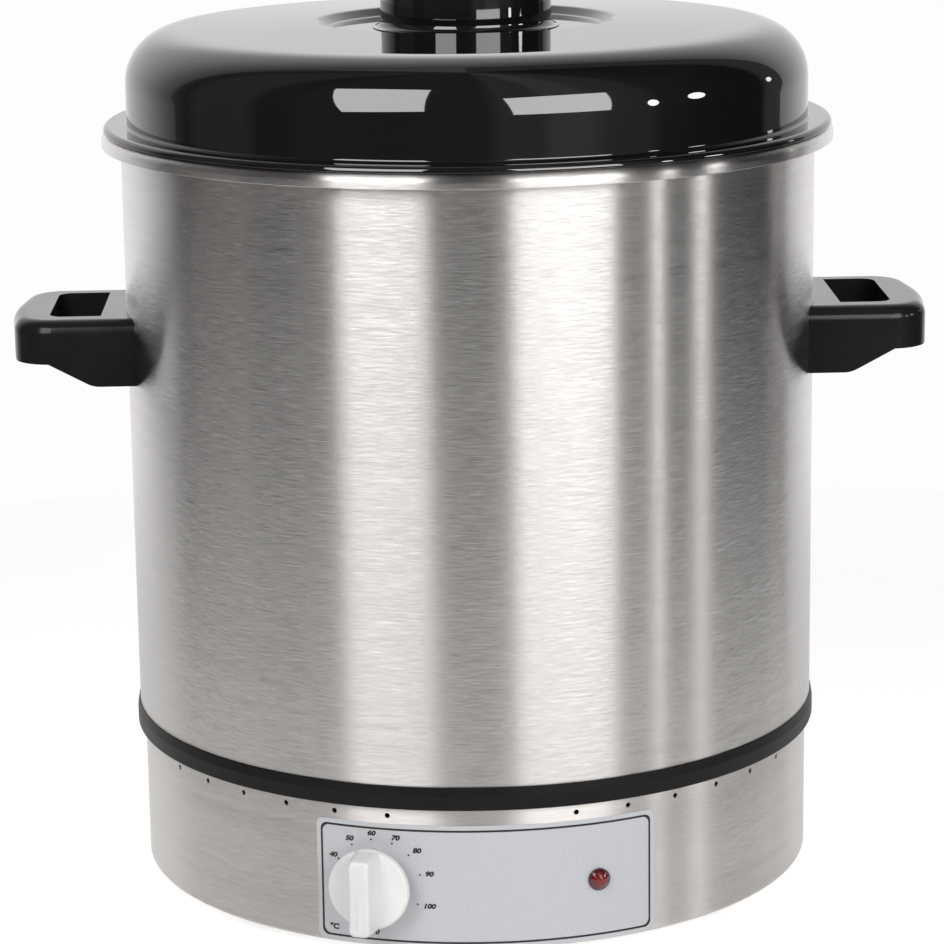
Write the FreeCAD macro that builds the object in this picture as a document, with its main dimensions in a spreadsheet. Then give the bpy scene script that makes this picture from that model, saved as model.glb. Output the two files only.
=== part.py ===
"""Electric candle wax melter: a deep steel pot with a lid and two handles, on a heated base.

Millimetres. +Z is up and the floor is z = 0. The origin is on the pot's axis. The front, with the
control knob and the lamp, faces -Y, and the handles point along +X and -X.
An azimuth is measured about +Z from the front, positive towards +X.
"""

import FreeCAD
import Part
import Sketcher
import math
import os
import re

SIZES = {
    # pot
    "pot_radius": 175.0,
    "pot_wall": 0.8,
    "pot_height": 303.5,
    "pot_corner": 8.0,
    "rim_width": 9.5,
    "rim_height": 7.2,
    "rim_round": 4.5,
    # insulating ring, which cups the foot of the pot and stands on the skirt
    "ring_wall": 1.4,
    "ring_shelf": 14.8,
    "ring_height": 11.4,
    "ring_web": 3.3,
    "ring_bevel": 4.5,
    "ring_lip": 0.7,
    "ring_spigot": 2.4,
    "fit_gap": 0.2,
    # base skirt
    "skirt_inset": 2.4,
    "skirt_wall": 0.8,
    "skirt_height": 71.7,
    "skirt_flange": 33.0,
    "skirt_edge": 0.7,
    "vent_radius": 1.3,
    "vent_drop": 4.7,
    "vent_start": 15.25,
    "vent_turn": -0.75,
    "vent_pitch": 9.0,
    "vent_count": 6,
    # bottom plate and feet
    "plate_wall": 1.0,
    "foot_height": 5.0,
    "foot_radius": 11.0,
    "foot_inset": 22.6,
    "foot_recess": 2.5,
    "foot_screw": 2.0,
    "foot_screw_head": 4.0,
    "foot_screw_head_height": 1.9,
    "foot_screw_tail": 1.0,
    "foot_nut_width": 7.0,
    "foot_nut_height": 3.2,
    # tie stud, which pulls the base up against the pot
    "stud_radius": 3.0,
    "stud_nut_width": 10.0,
    "stud_nut_height": 3.2,
    "stud_washer_radius": 9.0,
    "stud_washer_wall": 1.2,
    "stud_clearance": 0.3,
    "stud_tail": 0.4,
    # heater
    "spreader_radius": 132.0,
    "spreader_wall": 3.0,
    "spreader_bore": 12.0,
    "element_circle": 100.0,
    "element_width": 9.0,
    "element_low_width": 6.0,
    "element_height": 7.0,
    "element_angle": 330.0,
    "pin_radius": 2.5,
    "pin_length": 14.0,
    "pin_azimuth": 162.0,
    "shield_drop": 19.2,
    "shield_wall": 0.8,
    "shield_radius": 146.0,
    "shield_hole": 6.0,
    "spacer_radius": 6.0,
    # sensor bulb under the heat spreader
    "bulb_radius": 3.0,
    "bulb_length": 80.0,
    "bulb_y": -60.0,
    "bulb_clip_width": 12.0,
    "bulb_clip_wall": 1.0,
    "bulb_clip_foot": 6.0,
    "capillary_radius": 0.9,
    "capillary_run": 24.0,
    # thermal cut-out
    "cutout_x": 55.0,
    "cutout_y": -30.0,
    "cutout_radius": 8.5,
    "cutout_height": 10.0,
    "cutout_pin": 1.2,
    "cutout_pin_length": 10.0,
    "cutout_pin_offset": 2.4,
    # label plate
    "label_length": 170.0,
    "label_height": 62.0,
    "label_bottom": 6.0,
    "label_wall": 0.3,
    "label_corner": 3.8,
    # thermostat, on the knob's axis
    "knob_azimuth": -18.2,
    "knob_height": 37.8,
    "thermostat_width": 36.0,
    "thermostat_depth": 20.0,
    "seat_depth": 4.8,
    "bush_radius": 5.0,
    "bush_stand": 0.6,
    "spindle_radius": 3.0,
    "spindle_gap": 0.05,
    "spindle_inside": 9.5,
    "spindle_end_gap": 0.5,
    "mount_screw": 2.0,
    "mount_screw_head": 3.5,
    "mount_screw_head_height": 2.4,
    "mount_screw_length": 12.0,
    "mount_screw_spacing": 28.0,
    "screw_clearance": 0.1,
    # control knob
    "knob_radius": 20.2,
    "knob_disc": 4.0,
    "knob_face": 12.0,
    "knob_edge": 1.0,
    "knob_hub_radius": 8.0,
    "knob_hub_gap": 1.6,
    "knob_bore_depth": 18.5,
    "grip_bar_length": 39.0,
    "grip_bar_width": 13.0,
    "grip_bar_height": 14.5,
    "grip_bar_tip_length": 38.0,
    "grip_bar_tip_width": 10.4,
    "grip_bar_corner": 2.5,
    "index_width": 0.8,
    "index_length": 15.5,
    "index_height": 0.4,
    # indicator lamp
    "lamp_azimuth": 18.2,
    "lamp_height": 37.0,
    "lamp_radius": 5.5,
    "lamp_rim": 1.6,
    "lamp_dome": 4.2,
    "lamp_facet_radius": 3.85,
    "lamp_facet_drop": 0.8,
    "lamp_body_radius": 4.5,
    "lamp_body_length": 24.0,
    "lamp_clip_radius": 8.0,
    "lamp_clip_wall": 1.0,
    # cord gland at the back
    "gland_height": 32.0,
    "gland_thread": 7.0,
    "gland_flange_radius": 11.0,
    "gland_flange": 5.0,
    "gland_cap_radius": 9.5,
    "gland_cap": 12.0,
    "gland_cap_taper": 3.0,
    "gland_inside": 12.0,
    "gland_nut": 4.0,
    "gland_nut_width": 19.0,
    "gland_bore": 3.6,
    # terminal block
    "block_length": 40.0,
    "block_width": 18.0,
    "block_height": 14.0,
    "block_y": 100.0,
    "block_screw": 1.9,
    "block_screw_head": 3.5,
    "block_screw_head_height": 2.2,
    "block_screw_length": 9.0,
    "block_screw_spacing": 30.0,
    # wires: how far each runs straight from its terminal, and where it passes the tie stud
    "wire_radius": 1.3,
    "wire_lead": 40.0,
    "wire_rise": 14.0,
    "wire_aside": 10.0,
    "wire_inlet_drop": 7.0,
    "wire_bypass": 30.0,
    "wire_bypass_drop": 8.0,
    "switch_lead": 30.0,
    "lamp_lead": 25.0,
    "lamp_pin": 2.0,
    # handles
    "handle_root": 17.5,
    "handle_rise": 213.5,
    "handle_grip": 21.8,
    "handle_reach": 58.2,
    "handle_width": 94.0,
    "handle_bow": 5.5,
    "handle_corner": 20.0,
    "handle_edge": 7.0,
    "handle_under_edge": 6.0,
    "opening_start": 11.0,
    "opening_depth": 26.0,
    "opening_width": 67.0,
    "opening_corner": 7.0,
    "gusset_depth": 11.7,
    "gusset_flat": 15.0,
    "gusset_reach": 37.0,
    "gusset_round": 14.0,
    "bracket_wall": 1.5,
    "bracket_height": 15.0,
    "bracket_lip": 9.0,
    "bracket_angle": 19.0,
    "bracket_gap": 0.2,
    "bracket_slack": 0.5,
    "handle_screw": 2.0,
    "handle_screw_head": 3.6,
    "handle_screw_head_height": 2.6,
    "handle_screw_recess": 3.2,
    "handle_screw_length": 24.0,
    "handle_screw_reach": 5.2,
    "handle_screw_spacing": 36.0,
    # lid
    "lid_seat_gap": 0.1,
    "lid_inset": 1.0,
    "lid_flange": 3.3,
    "lid_wall": 2.5,
    "lid_plug_gap": 2.4,
    "lid_plug_depth": 8.0,
    "lid_height": 52.6,
    "lid_shoulder": 27.0,
    "lid_shoulder_drop": 2.9,
    "lid_recess_radius": 77.0,
    "lid_recess_slope": 9.0,
    "lid_recess_depth": 4.0,
    # lid knob
    "lid_knob_radius": 43.0,
    "lid_knob_height": 32.5,
    "lid_knob_edge": 1.5,
    "lid_knob_foot": 47.0,
    "lid_knob_foot_wall": 0.6,
    "lid_knob_flare": 3.6,
    "lid_knob_wall": 2.5,
    "lid_knob_boss": 6.0,
    "lid_screw": 2.5,
    "lid_screw_head": 4.8,
    "lid_screw_head_height": 3.4,
    "lid_screw_length": 22.0,
    "lid_washer_radius": 10.0,
    "lid_washer_wall": 1.2,
}

# sizes that follow from others: the base and the lid fit the pot
FITTED = {
    "skirt_radius": "pot_radius - skirt_inset",
    "ring_radius": "pot_radius + ring_wall",
    "ring_bore": "skirt_radius - skirt_wall - ring_shelf",
    "foot_circle": "skirt_radius - foot_inset",
    "lid_radius": "pot_radius + rim_width - lid_inset",
    "lid_recess_floor": "lid_recess_radius - lid_recess_slope",
}

# heights and radii that several pieces share
SKIRT_TOP = "(foot_height + skirt_height)"
SKIRT_INSIDE = "(skirt_radius - skirt_wall)"
PLATE_UNDERSIDE = "(foot_height + skirt_wall)"
PLATE_TOP = "(foot_height + skirt_wall + plate_wall)"
POT_BASE = "(foot_height + skirt_height + ring_web)"
RIM_TOP = "(foot_height + skirt_height + ring_web + pot_height)"
SPREADER_UNDERSIDE = f"({POT_BASE} - spreader_wall)"
ELEMENT_UNDERSIDE = f"({POT_BASE} - spreader_wall - element_height)"
SHIELD_TOP = f"({POT_BASE} - shield_drop)"
LABEL_FACE = "(skirt_radius + label_wall)"
KNOB_FACE = "(skirt_radius + label_wall + knob_face)"
THERMOSTAT_FRONT = f"({SKIRT_INSIDE} - seat_depth)"
THERMOSTAT_BACK = f"({SKIRT_INSIDE} - seat_depth - thermostat_depth)"
GRIP_TOP = f"({POT_BASE} + handle_rise)"
GRIP_UNDERSIDE = f"({POT_BASE} + handle_rise - handle_grip)"
GUSSET_UNDERSIDE = f"({POT_BASE} + handle_rise - handle_grip - gusset_depth)"
HANDLE_END = "(pot_radius + handle_reach)"
LID_SEAT = f"({RIM_TOP} + lid_seat_gap)"
LID_TOP = f"({RIM_TOP} + lid_seat_gap + lid_height)"
LID_PLUG = "(pot_radius - pot_wall - lid_plug_gap)"
LID_FLOOR = f"({LID_TOP} - lid_recess_depth)"
LID_CEILING = f"({LID_TOP} - lid_recess_depth - lid_wall)"

SLACK = 10.0  # how far a cutting profile reaches past what it cuts
BEND = 0.45  # how much of a wire's shorter run its bend may use
WIRE_SIDES = 6
OFF_AXIS = FreeCAD.Vector(0.3, 0.5, 0.8)  # a direction that no wire runs in

DOC = FreeCAD.newDocument("WaxMelter")


def make_sheet():
    """The spreadsheet that drives every sub-part: a name in column A, its value in column B."""
    sheet = DOC.addObject("Spreadsheet::Sheet", "Sizes")
    cells = {name: str(size) for name, size in SIZES.items()}
    cells.update({name: f"={formula}" for name, formula in FITTED.items()})
    for row, (name, cell) in enumerate(cells.items(), 1):
        sheet.set(f"A{row}", name)
        sheet.setAlias(f"B{row}", name)
        sheet.set(f"B{row}", cell)
    DOC.recompute()
    return sheet


SHEET = make_sheet()


def bound(text):
    """An expression in which every size's name points at the sheet."""
    names = SIZES | FITTED
    return re.sub(r"[a-z]\w*", lambda word: "Sizes." + word[0] if word[0] in names else word[0], text)


def number(text):
    """What an expression in the sizes comes to now."""
    return float(SHEET.evalExpression(bound(text)))


def vector(x, y, z):
    """A point given by three expressions."""
    return FreeCAD.Vector(number(x), number(y), number(z))


# ---------------------------------------------------------------- sketches


def new_body(label):
    """A PartDesign body. Groups of identical fasteners hold several solids."""
    body = DOC.addObject("PartDesign::Body", label)
    body.Label = label
    body.AllowCompound = True
    return body


def new_sketch(body, role, height="0", azimuth="0"):
    """A sketch on one of the body's origin planes, moved along its normal and turned about its own
    upright axis."""
    plane = next(item for item in body.Origin.OriginFeatures if item.Role == role)
    sketch = body.newObject("Sketcher::SketchObject", "sketch")
    sketch.AttachmentSupport = (plane, [""])
    sketch.MapMode = "FlatFace"
    turn = FreeCAD.Rotation(FreeCAD.Vector(0, 1, 0), number(azimuth))
    sketch.AttachmentOffset = FreeCAD.Placement(FreeCAD.Vector(), turn)
    sketch.setExpression("AttachmentOffset.Base.z", bound(height))
    if azimuth != "0":
        sketch.setExpression("AttachmentOffset.Rotation.Angle", bound(azimuth))
    return sketch


def hold_size(sketch, constraint, text):
    """Add a constraint whose size follows an expression."""
    index = sketch.addConstraint(constraint)
    sketch.setExpression(f"Constraints[{index}]", bound(text))


def hold_point(sketch, geometry, end, x, y):
    """Hold one point of a piece of geometry at (x, y), two expressions."""
    hold_size(sketch, Sketcher.Constraint("DistanceX", -1, 1, geometry, end, number(x)), x)
    hold_size(sketch, Sketcher.Constraint("DistanceY", -1, 1, geometry, end, number(y)), y)


def draw_circle(sketch, x, y, radius):
    """A circle at (x, y)."""
    centre = FreeCAD.Vector(number(x), number(y), 0)
    circle = sketch.addGeometry(Part.Circle(centre, FreeCAD.Vector(0, 0, 1), number(radius)))
    hold_point(sketch, circle, 3, x, y)
    hold_size(sketch, Sketcher.Constraint("Radius", circle, number(radius)), radius)


def corner_arc(before, here, after, radius):
    """The arc that rounds a corner, with the points where it leaves the two sides."""
    back = (before - here).normalize()
    ahead = (after - here).normalize()
    half = back.getAngle(ahead) / 2
    run = radius / math.tan(half)
    bisector = (back + ahead).normalize()
    middle = here + bisector * (radius / math.sin(half) - radius)
    entry = here + back * run
    leave = here + ahead * run
    return entry, leave, Part.Arc(entry, middle, leave)


def draw_outline(sketch, corners):
    """A closed outline through corners (x, y) or, where a corner is rounded, (x, y, radius)."""
    count = len(corners)
    points = [FreeCAD.Vector(number(corner[0]), number(corner[1]), 0) for corner in corners]
    entries = list(points)
    leaves = list(points)
    arcs = {}
    for index, corner in enumerate(corners):
        if len(corner) == 3:
            after = points[(index + 1) % count]
            rounding = corner_arc(points[index - 1], points[index], after, number(corner[2]))
            entries[index], leaves[index], arcs[index] = rounding
    sides = [
        sketch.addGeometry(Part.LineSegment(leaves[index], entries[(index + 1) % count]))
        for index in range(count)
    ]
    for index, corner in enumerate(corners):
        before, side = sides[index - 1], sides[index]
        if index not in arcs:
            sketch.addConstraint(Sketcher.Constraint("Coincident", before, 2, side, 1))
            hold_point(sketch, side, 1, corner[0], corner[1])
            continue
        arc = sketch.addGeometry(arcs[index])
        starts_here = sketch.getPoint(arc, 1).distanceToPoint(entries[index]) < 1e-6
        first, last = (1, 2) if starts_here else (2, 1)
        sketch.addConstraint(Sketcher.Constraint("Tangent", before, 2, arc, first))
        sketch.addConstraint(Sketcher.Constraint("Tangent", arc, last, side, 1))
        hold_size(sketch, Sketcher.Constraint("Radius", arc, number(corner[2])), corner[2])
        peak = sketch.addGeometry(Part.Point(points[index]), True)
        hold_point(sketch, peak, 1, corner[0], corner[1])
        sketch.addConstraint(Sketcher.Constraint("PointOnObject", peak, 1, before))
        sketch.addConstraint(Sketcher.Constraint("PointOnObject", peak, 1, side))


def draw_hexagon(sketch, x, y, width):
    """A hexagon of this width across its flats, with two flats across the sketch's x."""
    half = f"({width}) / 2"
    across = f"({width}) / sqrt(3)"
    draw_outline(
        sketch,
        [
            (f"{x} + {half}", f"{y} - {across} / 2"),
            (f"{x} + {half}", f"{y} + {across} / 2"),
            (f"{x}", f"{y} + {across}"),
            (f"{x} - {half}", f"{y} + {across} / 2"),
            (f"{x} - {half}", f"{y} - {across} / 2"),
            (f"{x}", f"{y} - {across}"),
        ],
    )


def draw_square(sketch, width):
    """A square about the sketch's origin."""
    half = f"{width} / 2"
    draw_outline(sketch, [(half, half), (f"-{half}", half), (f"-{half}", f"-{half}"), (half, f"-{half}")])


def draw_rounded(sketch, width, height, radius):
    """A rectangle about the sketch's origin, with rounded corners."""
    x, y = f"{width} / 2", f"{height} / 2"
    corners = [(x, y), (f"-{x}", y), (f"-{x}", f"-{y}"), (x, f"-{y}")]
    draw_outline(sketch, [(*corner, radius) for corner in corners])


# ---------------------------------------------------------------- features


def finish(body, feature):
    """Make a feature the body's tip and build it."""
    body.Tip = feature
    DOC.recompute()
    if feature.State and ("Invalid" in feature.State or "Error" in feature.State):
        raise RuntimeError(f"{body.Label}: {feature.Name} failed")
    return feature


def check_cut(body, before, feature):
    """A cut that points away from the solid removes nothing and shows no error."""
    if body.Shape.Volume > before - 1e-6:
        raise RuntimeError(f"{body.Label}: {feature.Name} cuts nothing")
    return feature


def turn(body, sketch, angle="360", centred=False):
    """Revolve a sketch about its own upright axis."""
    feature = body.newObject("PartDesign::Revolution", "turn")
    feature.Profile = sketch
    feature.ReferenceAxis = (sketch, ["V_Axis"])
    feature.setExpression("Angle", bound(angle))
    feature.Midplane = centred
    return finish(body, feature)


def groove(body, sketch, angle="360", centred=False):
    """Cut a revolved sketch away."""
    before = body.Shape.Volume
    feature = body.newObject("PartDesign::Groove", "groove")
    feature.Profile = sketch
    feature.ReferenceAxis = (sketch, ["V_Axis"])
    feature.setExpression("Angle", bound(angle))
    feature.Midplane = centred
    return check_cut(body, before, finish(body, feature))


def pad(body, sketch, length, centred=False):
    """Extrude a sketch along its normal, or both ways when centred."""
    feature = body.newObject("PartDesign::Pad", "pad")
    feature.Profile = sketch
    feature.setExpression("Length", bound(length))
    if centred:
        feature.SideType = "Symmetric"
    return finish(body, feature)


def loft(body, start, end):
    """A solid with straight sides from one sketch to another."""
    feature = body.newObject("PartDesign::AdditiveLoft", "loft")
    feature.Profile = start
    feature.Sections = [end]
    feature.Ruled = True
    return finish(body, feature)


def pocket(body, sketch, length):
    """Cut a sketch away along its normal."""
    before = body.Shape.Volume
    feature = body.newObject("PartDesign::Pocket", "pocket")
    feature.Profile = sketch
    feature.Reversed = True
    feature.setExpression("Length", bound(length))
    return check_cut(body, before, finish(body, feature))


def pocket_through(body, sketch):
    """Cut a sketch away through everything, both ways."""
    before = body.Shape.Volume
    feature = body.newObject("PartDesign::Pocket", "pocket")
    feature.Profile = sketch
    feature.SideType = "Symmetric"
    feature.Type = "ThroughAll"
    return check_cut(body, before, finish(body, feature))


def repeat(body, feature, angle, count):
    """Repeat a feature about the body's upright axis, over an angle."""
    axis = next(item for item in body.Origin.OriginFeatures if item.Role == "Z_Axis")
    pattern = body.newObject("PartDesign::PolarPattern", "pattern")
    pattern.Originals = [feature]
    pattern.Axis = (axis, [""])
    pattern.setExpression("Angle", bound(angle))
    pattern.setExpression("Occurrences", bound(count))
    return finish(body, pattern)


def soften(body, radius, wanted):
    """Round the edges of the tip that a test picks."""
    tip = body.Tip
    names = [f"Edge{index}" for index, edge in enumerate(tip.Shape.Edges, 1) if wanted(edge)]
    feature = body.newObject("PartDesign::Fillet", "fillet")
    feature.Base = (tip, names)
    feature.setExpression("Radius", bound(radius))
    return finish(body, feature)


def place(body, azimuth="0", height="0"):
    """Turn a sub-part about the pot's axis and lift it."""
    turned = FreeCAD.Rotation(FreeCAD.Vector(0, 0, 1), number(azimuth))
    body.Placement = FreeCAD.Placement(FreeCAD.Vector(0, 0, number(height)), turned)
    body.setExpression("Placement.Base.z", bound(height))
    body.setExpression("Placement.Rotation.Angle", bound(azimuth))
    DOC.recompute()
    return body


def turned_piece(label, corners, role="XZ_Plane"):
    """A sub-part that is one revolved outline."""
    body = new_body(label)
    sketch = new_sketch(body, role)
    draw_outline(sketch, corners)
    turn(body, sketch)
    return body


def add_discs(body, role, centres, radius, height, length):
    """Pad one round disc at each centre, from a height along the plane's normal."""
    sketch = new_sketch(body, role, height)
    for x, y in centres:
        draw_circle(sketch, x, y, radius)
    return pad(body, sketch, length)


def drill(body, role, centres, radius, height, length, azimuth="0"):
    """Cut one round hole at each centre, from a height along the plane's normal."""
    sketch = new_sketch(body, role, height, azimuth)
    for x, y in centres:
        draw_circle(sketch, x, y, radius)
    return pocket(body, sketch, length)


# ---------------------------------------------------------------- pot and ring


def make_pot():
    """Deep drawn pot with a turned-out rim. Outside, where the ring hides it, its corner is a chamfer."""
    chamfer = "(2 - sqrt(2)) * (pot_corner + pot_wall)"
    return turned_piece(
        "pot",
        [
            ("0", POT_BASE),
            (f"pot_radius - {chamfer}", POT_BASE),
            ("pot_radius", f"{POT_BASE} + {chamfer}"),
            ("pot_radius", f"{RIM_TOP} - pot_wall"),
            ("pot_radius + rim_width - pot_wall", f"{RIM_TOP} - rim_round"),
            ("pot_radius + rim_width - pot_wall", f"{RIM_TOP} - rim_height"),
            ("pot_radius + rim_width", f"{RIM_TOP} - rim_height"),
            ("pot_radius + rim_width", RIM_TOP, "rim_round"),
            ("pot_radius - pot_wall", RIM_TOP),
            ("pot_radius - pot_wall", f"{POT_BASE} + pot_wall + {chamfer}"),
            (f"pot_radius - pot_wall - {chamfer}", f"{POT_BASE} + pot_wall"),
            ("0", f"{POT_BASE} + pot_wall"),
        ],
    )


def make_insulating_ring():
    """Plastic ring: a cup for the pot's foot above, a spigot into the skirt below."""
    return turned_piece(
        "insulating_ring",
        [
            ("ring_bore", f"{SKIRT_TOP} - ring_spigot"),
            (f"{SKIRT_INSIDE} - fit_gap", f"{SKIRT_TOP} - ring_spigot"),
            (f"{SKIRT_INSIDE} - fit_gap", SKIRT_TOP),
            ("ring_radius", SKIRT_TOP),
            ("ring_radius", f"{SKIRT_TOP} + ring_height - ring_bevel"),
            ("pot_radius + ring_lip", f"{SKIRT_TOP} + ring_height"),
            ("pot_radius", f"{SKIRT_TOP} + ring_height"),
            ("pot_radius", POT_BASE),
            ("ring_bore", POT_BASE),
        ],
    )


# ---------------------------------------------------------------- base


def foot_centres():
    """The four feet stand on the diagonals."""
    side = "foot_circle / sqrt(2)"
    return [(f"{x} * {side}", f"{y} * {side}") for x in (1, -1) for y in (1, -1)]


def make_base_skirt():
    """Steel skirt with an inward flange, vent holes under its top edge, and the openings for the
    thermostat, the lamp and the cord gland."""
    body = turned_piece(
        "base_skirt",
        [
            ("skirt_radius - skirt_flange", "foot_height"),
            ("skirt_radius - skirt_edge", "foot_height"),
            ("skirt_radius", "foot_height + skirt_edge"),
            ("skirt_radius", SKIRT_TOP),
            (SKIRT_INSIDE, SKIRT_TOP),
            (SKIRT_INSIDE, PLATE_UNDERSIDE),
            ("skirt_radius - skirt_flange", PLATE_UNDERSIDE),
        ],
    )
    reach = f"skirt_radius + {SLACK}"
    vent_z = f"{SKIRT_TOP} - vent_drop"
    for side in ("1", "-1"):
        start = f"{side} * vent_start + vent_turn"
        vent = drill(body, "XZ_Plane", [("0", vent_z)], "vent_radius", "0", reach, start)
        row = repeat(body, vent, "vent_pitch * (vent_count - 1)", "vent_count")
        row.Reversed = side == "-1"
        finish(body, row)
    drill(body, "XZ_Plane", control_holes(), "mount_screw + screw_clearance", "0", reach, "knob_azimuth")
    bush = [("0", "knob_height")]
    drill(body, "XZ_Plane", bush, "bush_radius + screw_clearance", "0", reach, "knob_azimuth")
    lamp = [("0", "lamp_height")]
    drill(body, "XZ_Plane", lamp, "lamp_body_radius + screw_clearance", "0", reach, "lamp_azimuth")
    gland = [("0", "gland_height")]
    drill(body, "XZ_Plane", gland, "gland_thread + screw_clearance", "0", reach, "180")
    hole = "foot_screw + screw_clearance"
    drill(body, "XY_Plane", foot_centres(), hole, "0", PLATE_TOP)
    return body


def control_holes():
    """The two thermostat screws, above and below the knob's axis."""
    half = "mount_screw_spacing / 2"
    return [("0", f"knob_height + {half}"), ("0", f"knob_height - {half}")]


def make_bottom_plate():
    """Flat steel plate that lies on the skirt's flange."""
    body = turned_piece(
        "bottom_plate",
        [
            ("stud_radius + stud_clearance", PLATE_UNDERSIDE),
            (f"{SKIRT_INSIDE} - fit_gap", PLATE_UNDERSIDE),
            (f"{SKIRT_INSIDE} - fit_gap", PLATE_TOP),
            ("stud_radius + stud_clearance", PLATE_TOP),
        ],
    )
    drill(body, "XY_Plane", foot_centres(), "foot_screw + screw_clearance", "0", f"{PLATE_TOP} + {SLACK}")
    hole = "block_screw + screw_clearance"
    drill(body, "XY_Plane", block_screws(), hole, "0", f"{PLATE_TOP} + {SLACK}")
    return body


def make_feet():
    """Rubber feet, each recessed for its screw."""
    body = new_body("feet")
    add_discs(body, "XY_Plane", foot_centres(), "foot_radius", "0", "foot_height")
    drill(body, "XY_Plane", foot_centres(), "foot_screw_head", f"-{SLACK}", f"{SLACK} + foot_recess")
    drill(body, "XY_Plane", foot_centres(), "foot_screw", "0", f"foot_height + {SLACK}")
    return body


def make_foot_screws():
    """Screws up through foot, skirt flange and bottom plate."""
    body = new_body("foot_screws")
    low = "(foot_recess - foot_screw_head_height)"
    add_discs(body, "XY_Plane", foot_centres(), "foot_screw_head", low, "foot_screw_head_height")
    shank = f"{PLATE_TOP} + foot_nut_height + foot_screw_tail - {low}"
    add_discs(body, "XY_Plane", foot_centres(), "foot_screw", low, shank)
    return body


def make_foot_nuts():
    """Nuts on the foot screws, above the bottom plate."""
    body = new_body("foot_nuts")
    sketch = new_sketch(body, "XY_Plane", PLATE_TOP)
    for x, y in foot_centres():
        draw_hexagon(sketch, x, y, "foot_nut_width")
    pad(body, sketch, "foot_nut_height")
    drill(body, "XY_Plane", foot_centres(), "foot_screw", "0", f"{PLATE_TOP} + foot_nut_height + {SLACK}")
    return body


def make_tie_stud():
    """Stud welded under the pot."""
    body = new_body("tie_stud")
    low = f"({PLATE_UNDERSIDE} - stud_washer_wall - stud_nut_height - stud_tail)"
    add_discs(body, "XY_Plane", [("0", "0")], "stud_radius", low, f"{POT_BASE} - {low}")
    return body


def make_tie_washer():
    """Washer between the tie nut and the bottom plate."""
    low = f"{PLATE_UNDERSIDE} - stud_washer_wall"
    return turned_piece(
        "tie_washer",
        [
            ("stud_radius", low),
            ("stud_washer_radius", low),
            ("stud_washer_radius", PLATE_UNDERSIDE),
            ("stud_radius", PLATE_UNDERSIDE),
        ],
    )


def make_stud_nut(label, underside):
    """A thin nut on the tie stud."""
    body = new_body(label)
    sketch = new_sketch(body, "XY_Plane", underside)
    draw_hexagon(sketch, "0", "0", "stud_nut_width")
    draw_circle(sketch, "0", "0", "stud_radius")
    pad(body, sketch, "stud_nut_height")
    return body


# ---------------------------------------------------------------- heater


def make_heat_spreader():
    """Aluminium disc brazed under the pot."""
    return turned_piece(
        "heat_spreader",
        [
            ("spreader_bore", SPREADER_UNDERSIDE),
            ("spreader_radius", SPREADER_UNDERSIDE),
            ("spreader_radius", POT_BASE),
            ("spreader_bore", POT_BASE),
        ],
    )


def make_heating_element():
    """Pressed tubular element, an open ring with its gap at the back."""
    body = new_body("heating_element")
    sketch = new_sketch(body, "XZ_Plane")
    half_top = "element_width / 2"
    half_low = "element_low_width / 2"
    draw_outline(
        sketch,
        [
            (f"element_circle - {half_low}", ELEMENT_UNDERSIDE),
            (f"element_circle + {half_low}", ELEMENT_UNDERSIDE),
            (f"element_circle + {half_top}", SPREADER_UNDERSIDE),
            (f"element_circle - {half_top}", SPREADER_UNDERSIDE),
        ],
    )
    turn(body, sketch, "element_angle", centred=True)
    return place(body, "-90")


def pin_centres():
    """The element's two cold ends, on either side of the gap."""
    x = "element_circle * sin(pin_azimuth)"
    y = "-element_circle * cos(pin_azimuth)"
    return [(x, y), (f"-{x}", y)]


def make_element_pins():
    """Terminal pins under the element's two ends."""
    body = new_body("element_pins")
    low = f"{ELEMENT_UNDERSIDE} - pin_length"
    add_discs(body, "XY_Plane", pin_centres(), "pin_radius", low, "pin_length")
    return body


def make_heat_shield():
    """Steel disc that keeps the heat off the base, with holes for the pins, the cut-out's pins and
    the capillary tube."""
    body = turned_piece(
        "heat_shield",
        [
            ("stud_radius + stud_clearance", f"{SHIELD_TOP} - shield_wall"),
            ("shield_radius", f"{SHIELD_TOP} - shield_wall"),
            ("shield_radius", SHIELD_TOP),
            ("stud_radius + stud_clearance", SHIELD_TOP),
        ],
    )
    holes = pin_centres() + [("cutout_x", "cutout_y"), (capillary_x(), "bulb_y")]
    drill(body, "XY_Plane", holes, "shield_hole", "0", f"{SHIELD_TOP} + {SLACK}")
    return body


def make_shield_spacer():
    """Sleeve on the tie stud between pot and heat shield."""
    return turned_piece(
        "shield_spacer",
        [
            ("stud_radius", SHIELD_TOP),
            ("spacer_radius", SHIELD_TOP),
            ("spacer_radius", POT_BASE),
            ("stud_radius", POT_BASE),
        ],
    )


def make_sensor_bulb():
    """Thermostat bulb lying under the heat spreader."""
    body = new_body("sensor_bulb")
    sketch = new_sketch(body, "YZ_Plane")
    draw_circle(sketch, "bulb_y", f"{SPREADER_UNDERSIDE} - bulb_radius", "bulb_radius")
    pad(body, sketch, "bulb_length", centred=True)
    return body


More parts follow.
